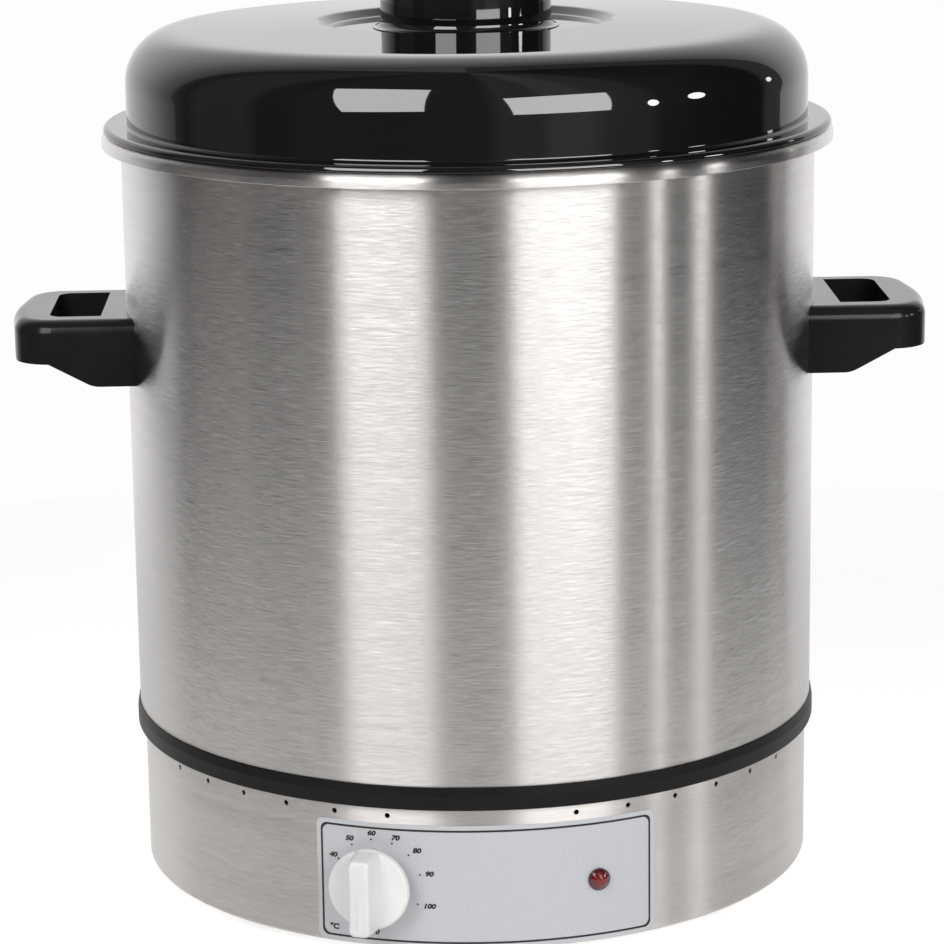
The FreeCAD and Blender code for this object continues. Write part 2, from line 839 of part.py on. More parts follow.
def make_bulb_clip():
    """Bent strap that holds the bulb against the heat spreader."""
    body = new_body("bulb_clip")
    sketch = new_sketch(body, "YZ_Plane")
    top = SPREADER_UNDERSIDE
    wall = "bulb_clip_wall"
    out = f"(bulb_radius + {wall})"
    foot = f"(bulb_radius + {wall} + bulb_clip_foot)"
    draw_outline(
        sketch,
        [
            (f"bulb_y - {foot}", top),
            (f"bulb_y - {foot}", f"{top} - {wall}"),
            (f"bulb_y - {out}", f"{top} - {wall}"),
            (f"bulb_y - {out}", f"{top} - 2 * bulb_radius - {wall}"),
            (f"bulb_y + {out}", f"{top} - 2 * bulb_radius - {wall}"),
            (f"bulb_y + {out}", f"{top} - {wall}"),
            (f"bulb_y + {foot}", f"{top} - {wall}"),
            (f"bulb_y + {foot}", top),
            ("bulb_y + bulb_radius", top),
            ("bulb_y + bulb_radius", f"{top} - 2 * bulb_radius"),
            ("bulb_y - bulb_radius", f"{top} - 2 * bulb_radius"),
            ("bulb_y - bulb_radius", top),
        ],
    )
    pad(body, sketch, "bulb_clip_width", centred=True)
    return body


def make_thermal_cutout():
    """Safety cut-out against the heat spreader, with two pins down through the heat shield."""
    body = new_body("thermal_cutout")
    low = f"({SPREADER_UNDERSIDE} - cutout_height)"
    centre = [("cutout_x", "cutout_y")]
    add_discs(body, "XY_Plane", centre, "cutout_radius", low, "cutout_height")
    pin_low = f"{low} - cutout_pin_length"
    add_discs(body, "XY_Plane", cutout_pins(), "cutout_pin", pin_low, "cutout_pin_length")
    return body


def cutout_pins():
    """The cut-out's two pins."""
    return [(f"cutout_x {side} cutout_pin_offset", "cutout_y") for side in "-+"]


# ---------------------------------------------------------------- controls


def make_label_plate():
    """Thin curved plate on the skirt, behind the knob and round the lamp."""
    body = new_body("label_plate")
    sketch = new_sketch(body, "XZ_Plane")
    draw_outline(
        sketch,
        [
            ("skirt_radius", "label_bottom"),
            (LABEL_FACE, "label_bottom"),
            (LABEL_FACE, "label_bottom + label_height"),
            ("skirt_radius", "label_bottom + label_height"),
        ],
    )
    turn(body, sketch, "label_length / skirt_radius * 180 / pi", centred=True)
    soften(body, "label_corner", lambda edge: edge.Length < 2 * number("label_wall"))
    hub = [("0", "knob_height")]
    reach = f"skirt_radius + {SLACK}"
    drill(body, "YZ_Plane", hub, "bush_radius + screw_clearance", "0", reach, "knob_azimuth")
    drill(body, "YZ_Plane", control_holes(), "mount_screw + screw_clearance", "0", reach, "knob_azimuth")
    lamp = [("0", "lamp_height")]
    drill(body, "YZ_Plane", lamp, "lamp_body_radius + screw_clearance", "0", reach, "lamp_azimuth")
    return place(body, "-90")


def make_thermostat_seat():
    """Moulded seat between the round skirt and the flat thermostat."""
    body = new_body("thermostat_seat")
    sketch = new_sketch(body, "XZ_Plane", THERMOSTAT_FRONT)
    draw_square(sketch, "thermostat_width")
    pad(body, sketch, f"seat_depth + {SLACK}")
    ring = new_sketch(body, "XY_Plane")
    draw_circle(ring, "0", "0", SKIRT_INSIDE)
    draw_circle(ring, "0", "0", f"{SKIRT_INSIDE} + thermostat_width")
    pocket_through(body, ring)
    half = "mount_screw_spacing / 2"
    reach = f"seat_depth + {SLACK}"
    drill(body, "XZ_Plane", [("0", "0")], "bush_radius", THERMOSTAT_FRONT, reach)
    drill(body, "XZ_Plane", [("0", half), ("0", f"-{half}")], "mount_screw", THERMOSTAT_FRONT, reach)
    return place(body, "knob_azimuth", "knob_height")


def make_thermostat_body():
    """Capillary thermostat with the bush that its spindle turns in."""
    body = new_body("thermostat_body")
    sketch = new_sketch(body, "XZ_Plane", THERMOSTAT_BACK)
    draw_square(sketch, "thermostat_width")
    pad(body, sketch, "thermostat_depth")
    centre = [("0", "0")]
    bush = f"{LABEL_FACE} + bush_stand - {THERMOSTAT_FRONT}"
    add_discs(body, "XZ_Plane", centre, "bush_radius", THERMOSTAT_FRONT, bush)
    bore_start = f"({THERMOSTAT_FRONT} - spindle_inside - spindle_end_gap)"
    bore = "spindle_radius + spindle_gap"
    drill(body, "XZ_Plane", centre, bore, bore_start, f"{LABEL_FACE} + {SLACK} - {bore_start}")
    half = "mount_screw_spacing / 2"
    screw_end = f"({LABEL_FACE} - mount_screw_length)"
    holes = [("0", half), ("0", f"-{half}")]
    drill(body, "XZ_Plane", holes, "mount_screw", screw_end, "mount_screw_length")
    return place(body, "knob_azimuth", "knob_height")


def make_thermostat_screws():
    """Two screws that hold the thermostat, hidden behind the knob."""
    body = new_body("thermostat_screws")
    half = "mount_screw_spacing / 2"
    centres = [("0", half), ("0", f"-{half}")]
    start = f"{LABEL_FACE} - mount_screw_length"
    add_discs(body, "XZ_Plane", centres, "mount_screw", start, "mount_screw_length")
    add_discs(body, "XZ_Plane", centres, "mount_screw_head", LABEL_FACE, "mount_screw_head_height")
    return place(body, "knob_azimuth", "knob_height")


def make_thermostat_spindle():
    """Spindle that turns with the knob."""
    body = new_body("thermostat_spindle")
    start = f"({THERMOSTAT_FRONT} - spindle_inside)"
    end = f"({LABEL_FACE} + knob_hub_gap + knob_bore_depth)"
    add_discs(body, "XZ_Plane", [("0", "0")], "spindle_radius", start, f"{end} - {start}")
    return place(body, "knob_azimuth", "knob_height")


def make_control_knob():
    """Knob: a disc on a hub, with a tapered grip bar that points down at rest."""
    body = turned_piece(
        "control_knob",
        [
            ("0", f"-({LABEL_FACE} + knob_hub_gap)"),
            ("knob_hub_radius", f"-({LABEL_FACE} + knob_hub_gap)"),
            ("knob_hub_radius", f"-({KNOB_FACE} - knob_disc)"),
            ("knob_radius", f"-({KNOB_FACE} - knob_disc)"),
            ("knob_radius", f"-({KNOB_FACE} - knob_edge)"),
            ("knob_radius - knob_edge", f"-{KNOB_FACE}"),
            ("0", f"-{KNOB_FACE}"),
        ],
        "XY_Plane",
    )
    foot = new_sketch(body, "XZ_Plane", KNOB_FACE)
    draw_rounded(foot, "grip_bar_width", "grip_bar_length", "grip_bar_corner")
    tip = new_sketch(body, "XZ_Plane", f"{KNOB_FACE} + grip_bar_height")
    draw_rounded(tip, "grip_bar_tip_width", "grip_bar_tip_length", "grip_bar_corner")
    loft(body, foot, tip)
    index = new_sketch(body, "XZ_Plane", f"{KNOB_FACE} + grip_bar_height")
    half = "index_width / 2"
    low = "-index_length"
    draw_outline(index, [(half, "0"), (f"-{half}", "0"), (f"-{half}", low), (half, low)])
    pad(body, index, "index_height")
    bore_start = f"({LABEL_FACE} + knob_hub_gap)"
    drill(body, "XZ_Plane", [("0", "0")], "spindle_radius", bore_start, "knob_bore_depth")
    return place(body, "knob_azimuth", "knob_height")


def make_lamp_lens():
    """Domed lens of the indicator lamp."""
    body = turned_piece(
        "lamp_lens",
        [
            ("0", f"-{LABEL_FACE}"),
            ("lamp_radius", f"-{LABEL_FACE}"),
            ("lamp_radius", f"-({LABEL_FACE} + lamp_rim)"),
            ("lamp_facet_radius", f"-({LABEL_FACE} + lamp_dome - lamp_facet_drop)"),
            ("0", f"-({LABEL_FACE} + lamp_dome)"),
        ],
        "XY_Plane",
    )
    return place(body, "lamp_azimuth", "lamp_height")


def make_lamp_body():
    """Lamp barrel behind the lens, through label and skirt."""
    body = new_body("lamp_body")
    start = f"({LABEL_FACE} - lamp_body_length)"
    add_discs(body, "XZ_Plane", [("0", "0")], "lamp_body_radius", start, "lamp_body_length")
    return place(body, "lamp_azimuth", "lamp_height")


def make_lamp_clip():
    """Push-on ring that holds the lamp behind the skirt."""
    body = new_body("lamp_clip")
    touch = f"sqrt({SKIRT_INSIDE} ^ 2 - lamp_clip_radius ^ 2)"
    sketch = new_sketch(body, "XZ_Plane", f"{touch} - lamp_clip_wall")
    draw_circle(sketch, "0", "0", "lamp_clip_radius")
    draw_circle(sketch, "0", "0", "lamp_body_radius")
    pad(body, sketch, "lamp_clip_wall")
    return place(body, "lamp_azimuth", "lamp_height")


# ---------------------------------------------------------------- cord entry and wiring


def make_cord_gland():
    """Gland body: a thread through the skirt with a flange outside."""
    body = turned_piece(
        "cord_gland",
        [
            ("gland_bore", "-(skirt_radius + gland_flange)"),
            ("gland_flange_radius", "-(skirt_radius + gland_flange)"),
            ("gland_flange_radius", "-skirt_radius"),
            ("gland_thread", "-skirt_radius"),
            ("gland_thread", "-(skirt_radius - gland_inside)"),
            ("gland_bore", "-(skirt_radius - gland_inside)"),
        ],
        "XY_Plane",
    )
    return place(body, "180", "gland_height")


def make_gland_cap():
    """Cap screwed on the gland, open for a cord."""
    base = "skirt_radius + gland_flange"
    body = turned_piece(
        "gland_cap",
        [
            ("gland_bore", f"-({base})"),
            ("gland_cap_radius", f"-({base})"),
            ("gland_cap_radius", f"-({base} + gland_cap - gland_cap_taper)"),
            ("gland_cap_radius - gland_cap_taper", f"-({base} + gland_cap)"),
            ("gland_bore", f"-({base} + gland_cap)"),
        ],
        "XY_Plane",
    )
    return place(body, "180", "gland_height")


def make_gland_nut():
    """Lock nut on the gland, behind the skirt."""
    body = new_body("gland_nut")
    touch = f"sqrt({SKIRT_INSIDE} ^ 2 - (gland_nut_width / 2) ^ 2)"
    sketch = new_sketch(body, "XZ_Plane", f"{touch} - gland_nut")
    draw_hexagon(sketch, "0", "0", "gland_nut_width")
    draw_circle(sketch, "0", "0", "gland_thread")
    pad(body, sketch, "gland_nut")
    return place(body, "180", "gland_height")


def block_screws():
    """The terminal block's two screws."""
    half = "block_screw_spacing / 2"
    return [(half, "block_y"), (f"-{half}", "block_y")]


def make_terminal_block():
    """Terminal block on the bottom plate, near the gland."""
    body = new_body("terminal_block")
    sketch = new_sketch(body, "XY_Plane", PLATE_TOP)
    x = "block_length / 2"
    near = "block_y - block_width / 2"
    far = "block_y + block_width / 2"
    draw_outline(sketch, [(x, near), (x, far), (f"-{x}", far), (f"-{x}", near)])
    pad(body, sketch, "block_height")
    depth = f"{PLATE_UNDERSIDE} + block_screw_length"
    drill(body, "XY_Plane", block_screws(), "block_screw", "0", depth)
    return body


def make_block_screws():
    """Screws that hold the terminal block from under the bottom plate."""
    body = new_body("block_screws")
    low = f"{PLATE_UNDERSIDE} - block_screw_head_height"
    add_discs(body, "XY_Plane", block_screws(), "block_screw_head", low, "block_screw_head_height")
    add_discs(body, "XY_Plane", block_screws(), "block_screw", PLATE_UNDERSIDE, "block_screw_length")
    return body


def behind(azimuth, radius, aside, z):
    """A point at this radius towards an azimuth, moved aside at right angles to it."""
    angle = math.radians(azimuth)
    x = radius * math.sin(angle) + aside * math.cos(angle)
    y = -radius * math.cos(angle) + aside * math.sin(angle)
    return FreeCAD.Vector(x, y, z)


def bent_path(points):
    """Straight runs joined by tangent arcs, each as large as its shorter run allows."""
    edges = []
    start = points[0]
    for before, here, after in zip(points, points[1:], points[2:]):
        shorter = min(here.distanceToPoint(before), here.distanceToPoint(after))
        opening = (before - here).getAngle(after - here)
        radius = BEND * shorter * math.tan(opening / 2)
        entry, leave, arc = corner_arc(before, here, after, radius)
        edges += [Part.LineSegment(start, entry).toShape(), arc.toShape()]
        start = leave
    edges.append(Part.LineSegment(start, points[-1]).toShape())
    return Part.Wire(edges)


def swept(points, radius):
    """A thin conductor along a bent path, with a section of few sides."""
    path = bent_path(points)
    along = (points[1] - points[0]).normalize()
    across = along.cross(OFF_AXIS).normalize()
    turn_step = FreeCAD.Rotation(along, 360 / WIRE_SIDES)
    ring = [points[0] + across * radius]
    for _ in range(WIRE_SIDES):
        across = turn_step.multVec(across)
        ring.append(points[0] + across * radius)
    return path.makePipeShell([Part.makePolygon(ring)], True, False)


def capillary_x():
    """Where the capillary tube goes down through the heat shield."""
    return "-(bulb_length / 2 + capillary_run)"


def make_capillary_tube():
    """Tube from the bulb down through the heat shield to the back of the thermostat."""
    bulb = vector("-bulb_length / 2", "bulb_y", f"{SPREADER_UNDERSIDE} - bulb_radius")
    quarter = number("thermostat_width / 4")
    level = number("knob_height") + quarter
    drop_x = number(capillary_x())
    azimuth = number("knob_azimuth")
    back = number(THERMOSTAT_BACK)
    points = [
        bulb,
        FreeCAD.Vector(drop_x, bulb.y, bulb.z),
        FreeCAD.Vector(drop_x, bulb.y, level),
        behind(azimuth, back - number("wire_lead"), -quarter, level),
        behind(azimuth, back, -quarter, level),
    ]
    feature = DOC.addObject("Part::Feature", "capillary_tube")
    feature.Shape = swept(points, number("capillary_radius"))
    return feature


def wire_routes():
    """The routes of the wires, each as points from one terminal to the next."""
    azimuth, back, quarter = number("knob_azimuth"), number(THERMOSTAT_BACK), number("thermostat_width / 4")
    middle = number("knob_height")
    low, high = middle - quarter, middle + quarter
    lead, aside = number("wire_lead"), number("wire_aside")
    switch_lead, lamp_lead, lamp_pin = number("switch_lead"), number("lamp_lead"), number("lamp_pin")
    block_y, block_front = number("block_y"), number("block_y - block_width / 2")
    block_top = number(f"{PLATE_TOP} + block_height")
    over_block = block_top + number("wire_rise")
    inlet = block_top - number("wire_inlet_drop")
    bypass, bypass_z = -number("wire_bypass"), low - number("wire_bypass_drop")
    pin_low = number(f"{ELEMENT_UNDERSIDE} - pin_length")
    cutout_low = number(f"{SPREADER_UNDERSIDE} - cutout_height - cutout_pin_length")
    (right_x, pin_y), (left_x, _) = [(number(x), number(y)) for x, y in pin_centres()]
    near_pin, far_pin = [(number(x), number(y)) for x, y in cutout_pins()]
    lamp_azimuth, lamp_z = number("lamp_azimuth"), number("lamp_height")
    lamp_back = number(f"{LABEL_FACE} - lamp_body_length")
    point = FreeCAD.Vector
    neutral = [
        point(-aside, block_y, block_top),
        point(-aside, block_y, over_block),
        point(left_x, pin_y, over_block),
        point(left_x, pin_y, pin_low),
    ]
    live = [
        point(-aside, block_front, inlet),
        point(-aside, block_front - lamp_lead, inlet),
        point(bypass, 0, bypass_z),
        behind(azimuth, back - lead, quarter, low),
        behind(azimuth, back, quarter, low),
    ]
    switched = [
        behind(azimuth, back, quarter, high),
        behind(azimuth, back - switch_lead, quarter, high),
        point(*near_pin, high),
        point(*near_pin, cutout_low),
    ]
    heater = [
        point(*far_pin, cutout_low),
        point(*far_pin, middle),
        point(right_x, pin_y, middle),
        point(right_x, pin_y, pin_low),
    ]
    lamp_feed = [
        behind(azimuth, back, 0, middle),
        behind(azimuth, back - lamp_lead, 0, middle),
        behind(lamp_azimuth, lamp_back - lamp_lead, -lamp_pin, lamp_z),
        behind(lamp_azimuth, lamp_back, -lamp_pin, lamp_z),
    ]
    lamp_return = [
        point(aside, block_front, inlet),
        point(aside, block_front - lead, inlet),
        behind(lamp_azimuth, lamp_back - lead, lamp_pin, lamp_z),
        behind(lamp_azimuth, lamp_back, lamp_pin, lamp_z),
    ]
    return [neutral, live, switched, heater, lamp_feed, lamp_return]


def make_internal_wires():
    """Insulated wires between block, thermostat, cut-out, element and lamp."""
    feature = DOC.addObject("Part::Feature", "internal_wires")
    radius = number("wire_radius")
    feature.Shape = Part.makeCompound([swept(route, radius) for route in wire_routes()])
    return feature


# ---------------------------------------------------------------- handles


def draw_handle_outline(sketch):
    """A handle's outline from above, from inside the pot wall to its bowed outer end."""
    start = "pot_radius - handle_root"
    half = "handle_width / 2"
    shoulder = f"{HANDLE_END} - handle_bow"
    draw_outline(
        sketch,
        [
            (start, half),
            (start, f"-{half}"),
            (shoulder, f"-{half}", "handle_corner"),
            (HANDLE_END, "0", "handle_width"),
            (shoulder, half, "handle_corner"),
        ],
    )


def cut_handle_openings(body):
    """The finger opening, and the hollow foot that follows the pot wall."""
    opening = new_sketch(body, "XY_Plane")
    near = "pot_radius + opening_start"
    far = "pot_radius + opening_start + opening_depth"
    half = "opening_width / 2"
    draw_outline(
        opening,
        [
            (near, half),
            (near, f"-{half}"),
            (far, f"-{half}", "opening_corner"),
            (far, half, "opening_corner"),
        ],
    )
    pocket_through(body, opening)
    wall = new_sketch(body, "XY_Plane")
    draw_circle(wall, "0", "0", "pot_radius")
    pocket_through(body, wall)


def handle_screws():
    """The two screws of one handle."""
    x = "pot_radius + handle_screw_reach"
    half = "handle_screw_spacing / 2"
    return [(x, half), (x, f"-{half}")]


def make_handle_grip(label, azimuth):
    """Upper half of a handle: a closed loop that the fingers go through."""
    body = new_body(label)
    sketch = new_sketch(body, "XY_Plane", GRIP_UNDERSIDE)
    draw_handle_outline(sketch)
    pad(body, sketch, "handle_grip")
    top = number(GRIP_TOP)
    inside = number("pot_radius - handle_root")

    def on_top(edge):
        box = edge.BoundBox
        return box.ZMin > top - 0.01 and box.XMax > inside + 0.01

    soften(body, "handle_edge", on_top)
    cut_handle_openings(body)
    round_grip_underside(body)
    cut_bracket_pocket(body)
    drill(body, "XY_Plane", handle_screws(), "handle_screw", GRIP_UNDERSIDE, grip_screw_depth())
    return place(body, azimuth)


def grip_screw_depth():
    """How far the handle screws reach into the grip."""
    tip = f"{GUSSET_UNDERSIDE} + handle_screw_recess - handle_screw_head_height + handle_screw_length"
    return f"({tip} - {GRIP_UNDERSIDE})"


def round_grip_underside(body):
    """Round the lower edge of the grip's outer end."""
    sketch = new_sketch(body, "XZ_Plane")
    low = f"{GRIP_UNDERSIDE} - {SLACK}"
    past = f"{HANDLE_END} + {SLACK}"
    draw_outline(
        sketch,
        [
            (f"{HANDLE_END} - 2 * handle_under_edge", GRIP_UNDERSIDE),
            (f"{HANDLE_END} - 2 * handle_under_edge", low),
            (past, low),
            (past, f"{GRIP_UNDERSIDE} + 2 * handle_under_edge"),
            (HANDLE_END, f"{GRIP_UNDERSIDE} + 2 * handle_under_edge"),
            (HANDLE_END, GRIP_UNDERSIDE, "handle_under_edge"),
        ],
    )
    pocket_through(body, sketch)


def bracket_profile(gap):
    """The bracket's L section, grown by a gap."""
    outer = f"pot_radius + bracket_wall + {gap}"
    lip = f"pot_radius + bracket_lip + {gap}"
    return [
        ("pot_radius", GRIP_UNDERSIDE),
        (lip, GRIP_UNDERSIDE),
        (lip, f"{GRIP_UNDERSIDE} + bracket_wall + {gap}"),
        (outer, f"{GRIP_UNDERSIDE} + bracket_wall + {gap}"),
        (outer, f"{GRIP_UNDERSIDE} + bracket_height + {gap}"),
        ("pot_radius", f"{GRIP_UNDERSIDE} + bracket_height + {gap}"),
    ]


def cut_bracket_pocket(body):
    """The hollow in a grip's foot that takes the bracket."""
    sketch = new_sketch(body, "XZ_Plane")
    draw_outline(sketch, bracket_profile("bracket_gap"))
    groove(body, sketch, "bracket_angle + bracket_slack", centred=True)


def make_handle_bracket(label, azimuth):
    """Steel bracket welded to the pot, with a lip between grip and gusset."""
    body = new_body(label)
    sketch = new_sketch(body, "XZ_Plane")
    draw_outline(sketch, bracket_profile("0"))
    turn(body, sketch, "bracket_angle", centred=True)
    hole = "handle_screw + screw_clearance"
    drill(body, "XY_Plane", handle_screws(), hole, "0", f"{GRIP_UNDERSIDE} + 2 * bracket_wall")
    return place(body, azimuth)


def make_handle_gusset(label, azimuth):
    """Lower half of a handle: a U-shaped gusset that tapers outwards under the side arms."""
    body = new_body(label)
    sketch = new_sketch(body, "XY_Plane", GUSSET_UNDERSIDE)
    draw_handle_outline(sketch)
    pad(body, sketch, "gusset_depth")
    cut_handle_openings(body)
    slope = new_sketch(body, "XZ_Plane")
    low = f"{GUSSET_UNDERSIDE} - {SLACK}"
    past = f"{HANDLE_END} + {SLACK}"
    draw_outline(
        slope,
        [
            ("pot_radius - gusset_flat", GUSSET_UNDERSIDE),
            ("pot_radius - gusset_flat", low),
            (past, low),
            (past, GRIP_UNDERSIDE),
            ("pot_radius + gusset_reach", GRIP_UNDERSIDE),
            ("pot_radius + gusset_flat", GUSSET_UNDERSIDE, "gusset_round"),
        ],
    )
    pocket_through(body, slope)
    below = f"{GUSSET_UNDERSIDE} - {SLACK}"
    drill(body, "XY_Plane", handle_screws(), "handle_screw", below, f"gusset_depth + 2 * {SLACK}")
    head = "handle_screw_head + screw_clearance"
    drill(body, "XY_Plane", handle_screws(), head, below, f"handle_screw_recess + {SLACK}")
    return place(body, azimuth)


def make_handle_screws():
    """Screws up through gusset and bracket into the grip, two at each handle."""
    body = new_body("handle_screws")
    centres = handle_screws() + [(f"-({x})", y) for x, y in handle_screws()]
    low = f"({GUSSET_UNDERSIDE} + handle_screw_recess - handle_screw_head_height)"
    add_discs(body, "XY_Plane", centres, "handle_screw_head", low, "handle_screw_head_height")
    add_discs(body, "XY_Plane", centres, "handle_screw", low, "handle_screw_length")
    return body


# ---------------------------------------------------------------- lid


def make_lid():
    """Moulded lid: a plug in the pot's mouth, a flange on the rim and a dome with a round recess."""
    inner_shoulder = f"{LID_TOP} - lid_shoulder_drop - lid_wall"
    body = turned_piece(
        "lid",
        [
            (f"{LID_PLUG} - lid_wall", f"{LID_SEAT} - lid_plug_depth"),
            (LID_PLUG, f"{LID_SEAT} - lid_plug_depth"),
            (LID_PLUG, LID_SEAT),
            ("lid_radius", LID_SEAT),
            ("lid_radius", f"{LID_SEAT} + lid_flange"),
            (LID_PLUG, f"{LID_SEAT} + lid_flange"),
            (LID_PLUG, f"{LID_TOP} - lid_shoulder_drop", "lid_shoulder"),
            ("lid_recess_radius", LID_TOP),
            ("lid_recess_floor", LID_FLOOR),
            ("0", LID_FLOOR),
            ("0", LID_CEILING),
            ("lid_recess_floor + lid_wall", LID_CEILING),
            ("lid_recess_radius + lid_wall", f"{LID_TOP} - lid_wall"),
            (f"{LID_PLUG} - lid_wall", inner_shoulder, "lid_shoulder - lid_wall"),
        ],
    )
    drill(body, "XY_Plane", [("0", "0")], "lid_screw + screw_clearance", "0", f"{LID_TOP} + {SLACK}")
    return body


def make_lid_knob():
    """Hollow lid knob with a flared foot and a boss for its screw, standing in the lid's recess."""
    top = f"({LID_FLOOR} + lid_knob_height)"
    hole_end = f"{LID_CEILING} - lid_washer_wall + lid_screw_length"
    return turned_piece(
        "lid_knob",
        [
            ("lid_screw", hole_end),
            ("lid_screw", LID_FLOOR),
            ("lid_knob_boss", LID_FLOOR),
            ("lid_knob_boss", f"{top} - lid_knob_wall"),
            ("lid_knob_radius - lid_knob_wall", f"{top} - lid_knob_wall"),
            ("lid_knob_radius - lid_knob_wall", LID_FLOOR),
            ("lid_knob_foot", LID_FLOOR),
            ("lid_knob_foot", f"{LID_FLOOR} + lid_knob_foot_wall"),
            ("lid_knob_radius", f"{LID_FLOOR} + lid_knob_foot_wall + lid_knob_flare"),
            ("lid_knob_radius", f"{top} - lid_knob_edge"),
            ("lid_knob_radius - lid_knob_edge", top),
            ("0", top),
            ("0", hole_end),
        ],
    )


def make_lid_washer():
    """Washer under the lid, between lid and screw head."""
    low = f"{LID_CEILING} - lid_washer_wall"
    return turned_piece(
        "lid_washer",
        [
            ("lid_screw", low),
            ("lid_washer_radius", low),
            ("lid_washer_radius", LID_CEILING),
            ("lid_screw", LID_CEILING),
        ],
    )


def make_lid_screw():
    """Screw up through washer and lid into the lid knob."""
    body = new_body("lid_screw")
    seat = f"({LID_CEILING} - lid_washer_wall)"
    centre = [("0", "0")]
    low = f"{seat} - lid_screw_head_height"
    add_discs(body, "XY_Plane", centre, "lid_screw_head", low, "lid_screw_head_height")
    add_discs(body, "XY_Plane", centre, "lid_screw", seat, "lid_screw_length")
    return body


# ---------------------------------------------------------------- assembly


def make_all():
    """Every sub-part, in the order in which the object goes together."""
    parts = [make_pot(), make_heat_spreader(), make_heating_element(), make_element_pins()]
    parts += [make_sensor_bulb(), make_bulb_clip(), make_thermal_cutout(), make_capillary_tube()]
    parts += [make_tie_stud(), make_shield_spacer(), make_heat_shield()]
    parts += [make_stud_nut("shield_nut", f"{SHIELD_TOP} - shield_wall - stud_nut_height")]
    parts += [make_insulating_ring(), make_base_skirt(), make_bottom_plate(), make_tie_washer()]
    tie_nut_low = f"{PLATE_UNDERSIDE} - stud_washer_wall - stud_nut_height"
    parts += [make_stud_nut("tie_nut", tie_nut_low)]
    parts += [make_feet(), make_foot_screws(), make_foot_nuts()]
    parts += [make_label_plate(), make_thermostat_seat(), make_thermostat_body()]
    parts += [make_thermostat_screws(), make_thermostat_spindle(), make_control_knob()]
    parts += [make_lamp_lens(), make_lamp_body(), make_lamp_clip()]
    parts += [make_cord_gland(), make_gland_cap(), make_gland_nut()]
    parts += [make_terminal_block(), make_block_screws(), make_internal_wires()]
    for side, azimuth in (("right", "0"), ("left", "180")):
        parts.append(make_handle_bracket(f"{side}_handle_bracket", azimuth))
        parts.append(make_handle_grip(f"{side}_handle_grip", azimuth))
        parts.append(make_handle_gusset(f"{side}_handle_gusset", azimuth))
    parts += [make_handle_screws()]
    parts += [make_lid(), make_lid_knob(), make_lid_washer(), make_lid_screw()]
    return parts


def check_document(parts):
    """Stop if anything in the document failed or any sub-part has no sound solid."""
    DOC.recompute()
    for item in DOC.Objects:
        if "Invalid" in item.State or "Error" in item.State:
            raise RuntimeError(f"{item.Label} failed")
    for part in parts:
        shape = part.Shape
        if shape.isNull() or not shape.isValid() or not shape.Solids:
            raise RuntimeError(f"{part.Label} has no valid solid")


def export(parts):
    """Write each sub-part to a file of its own name."""
    os.makedirs("parts", exist_ok=True)
    for part in parts:
        part.Shape.exportStep(f"parts/{part.Label}.step")


PARTS = make_all()
check_document(PARTS)
export(PARTS)
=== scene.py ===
"""Looks of the candle wax melter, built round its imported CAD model.

Sizes are millimetres where nothing else is said, and MM turns them into metres where a mesh is
made. +Z is up, the front faces -Y, and an azimuth is measured in degrees about +Z from the front,
positive towards +X.
"""

import math
from functools import partial

import bmesh
import bpy
from mathutils import Matrix, Vector
from mathutils.geometry import delaunay_2d_cdt


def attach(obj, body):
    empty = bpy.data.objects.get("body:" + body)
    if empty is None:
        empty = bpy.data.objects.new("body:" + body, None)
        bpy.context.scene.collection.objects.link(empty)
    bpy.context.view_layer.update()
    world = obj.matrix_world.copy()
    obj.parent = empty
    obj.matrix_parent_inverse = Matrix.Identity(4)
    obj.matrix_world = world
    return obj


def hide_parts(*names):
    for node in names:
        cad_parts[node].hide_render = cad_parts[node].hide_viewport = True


MM = 0.001

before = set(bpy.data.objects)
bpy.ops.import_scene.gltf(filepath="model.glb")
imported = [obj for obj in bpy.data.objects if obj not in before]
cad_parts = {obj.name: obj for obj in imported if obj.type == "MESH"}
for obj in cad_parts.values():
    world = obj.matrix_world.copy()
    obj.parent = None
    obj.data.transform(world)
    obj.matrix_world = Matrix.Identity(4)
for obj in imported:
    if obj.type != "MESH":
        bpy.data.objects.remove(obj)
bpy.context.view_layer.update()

# sizes that the CAD model has
POT_RADIUS = 175.0
POT_WALL = 0.8
POT_BASE = 80.0
RIM_TOP = 383.5
RIM_HEIGHT = 7.2
RIM_RADIUS = 184.5
SKIRT_RADIUS = 172.6
SKIRT_WALL = 0.8
SKIRT_LOW = 5.0
SKIRT_TOP = 76.7
HEM_RADIUS = 1.8
HEM_REACH = 139.6
GLAND_HEIGHT = 32.0
GLAND_RADIUS = 7.1
LABEL_FACE = 172.9
LABEL_LENGTH = 170.0
LABEL_LOW = 6.0
LABEL_TOP = 68.0
LABEL_CORNER = 3.8
KNOB_AZIMUTH = -18.2
KNOB_HEIGHT = 37.8
LAMP_AZIMUTH = 18.2
LAMP_HEIGHT = 37.0
LID_SEAT = 383.6
LID_FLANGE = 3.3
LID_TOP = 436.2
LID_FLOOR = 432.2

# one degree round the skirt
ARC = math.radians(1) * SKIRT_RADIUS


# ---------------------------------------------------------------- mesh building


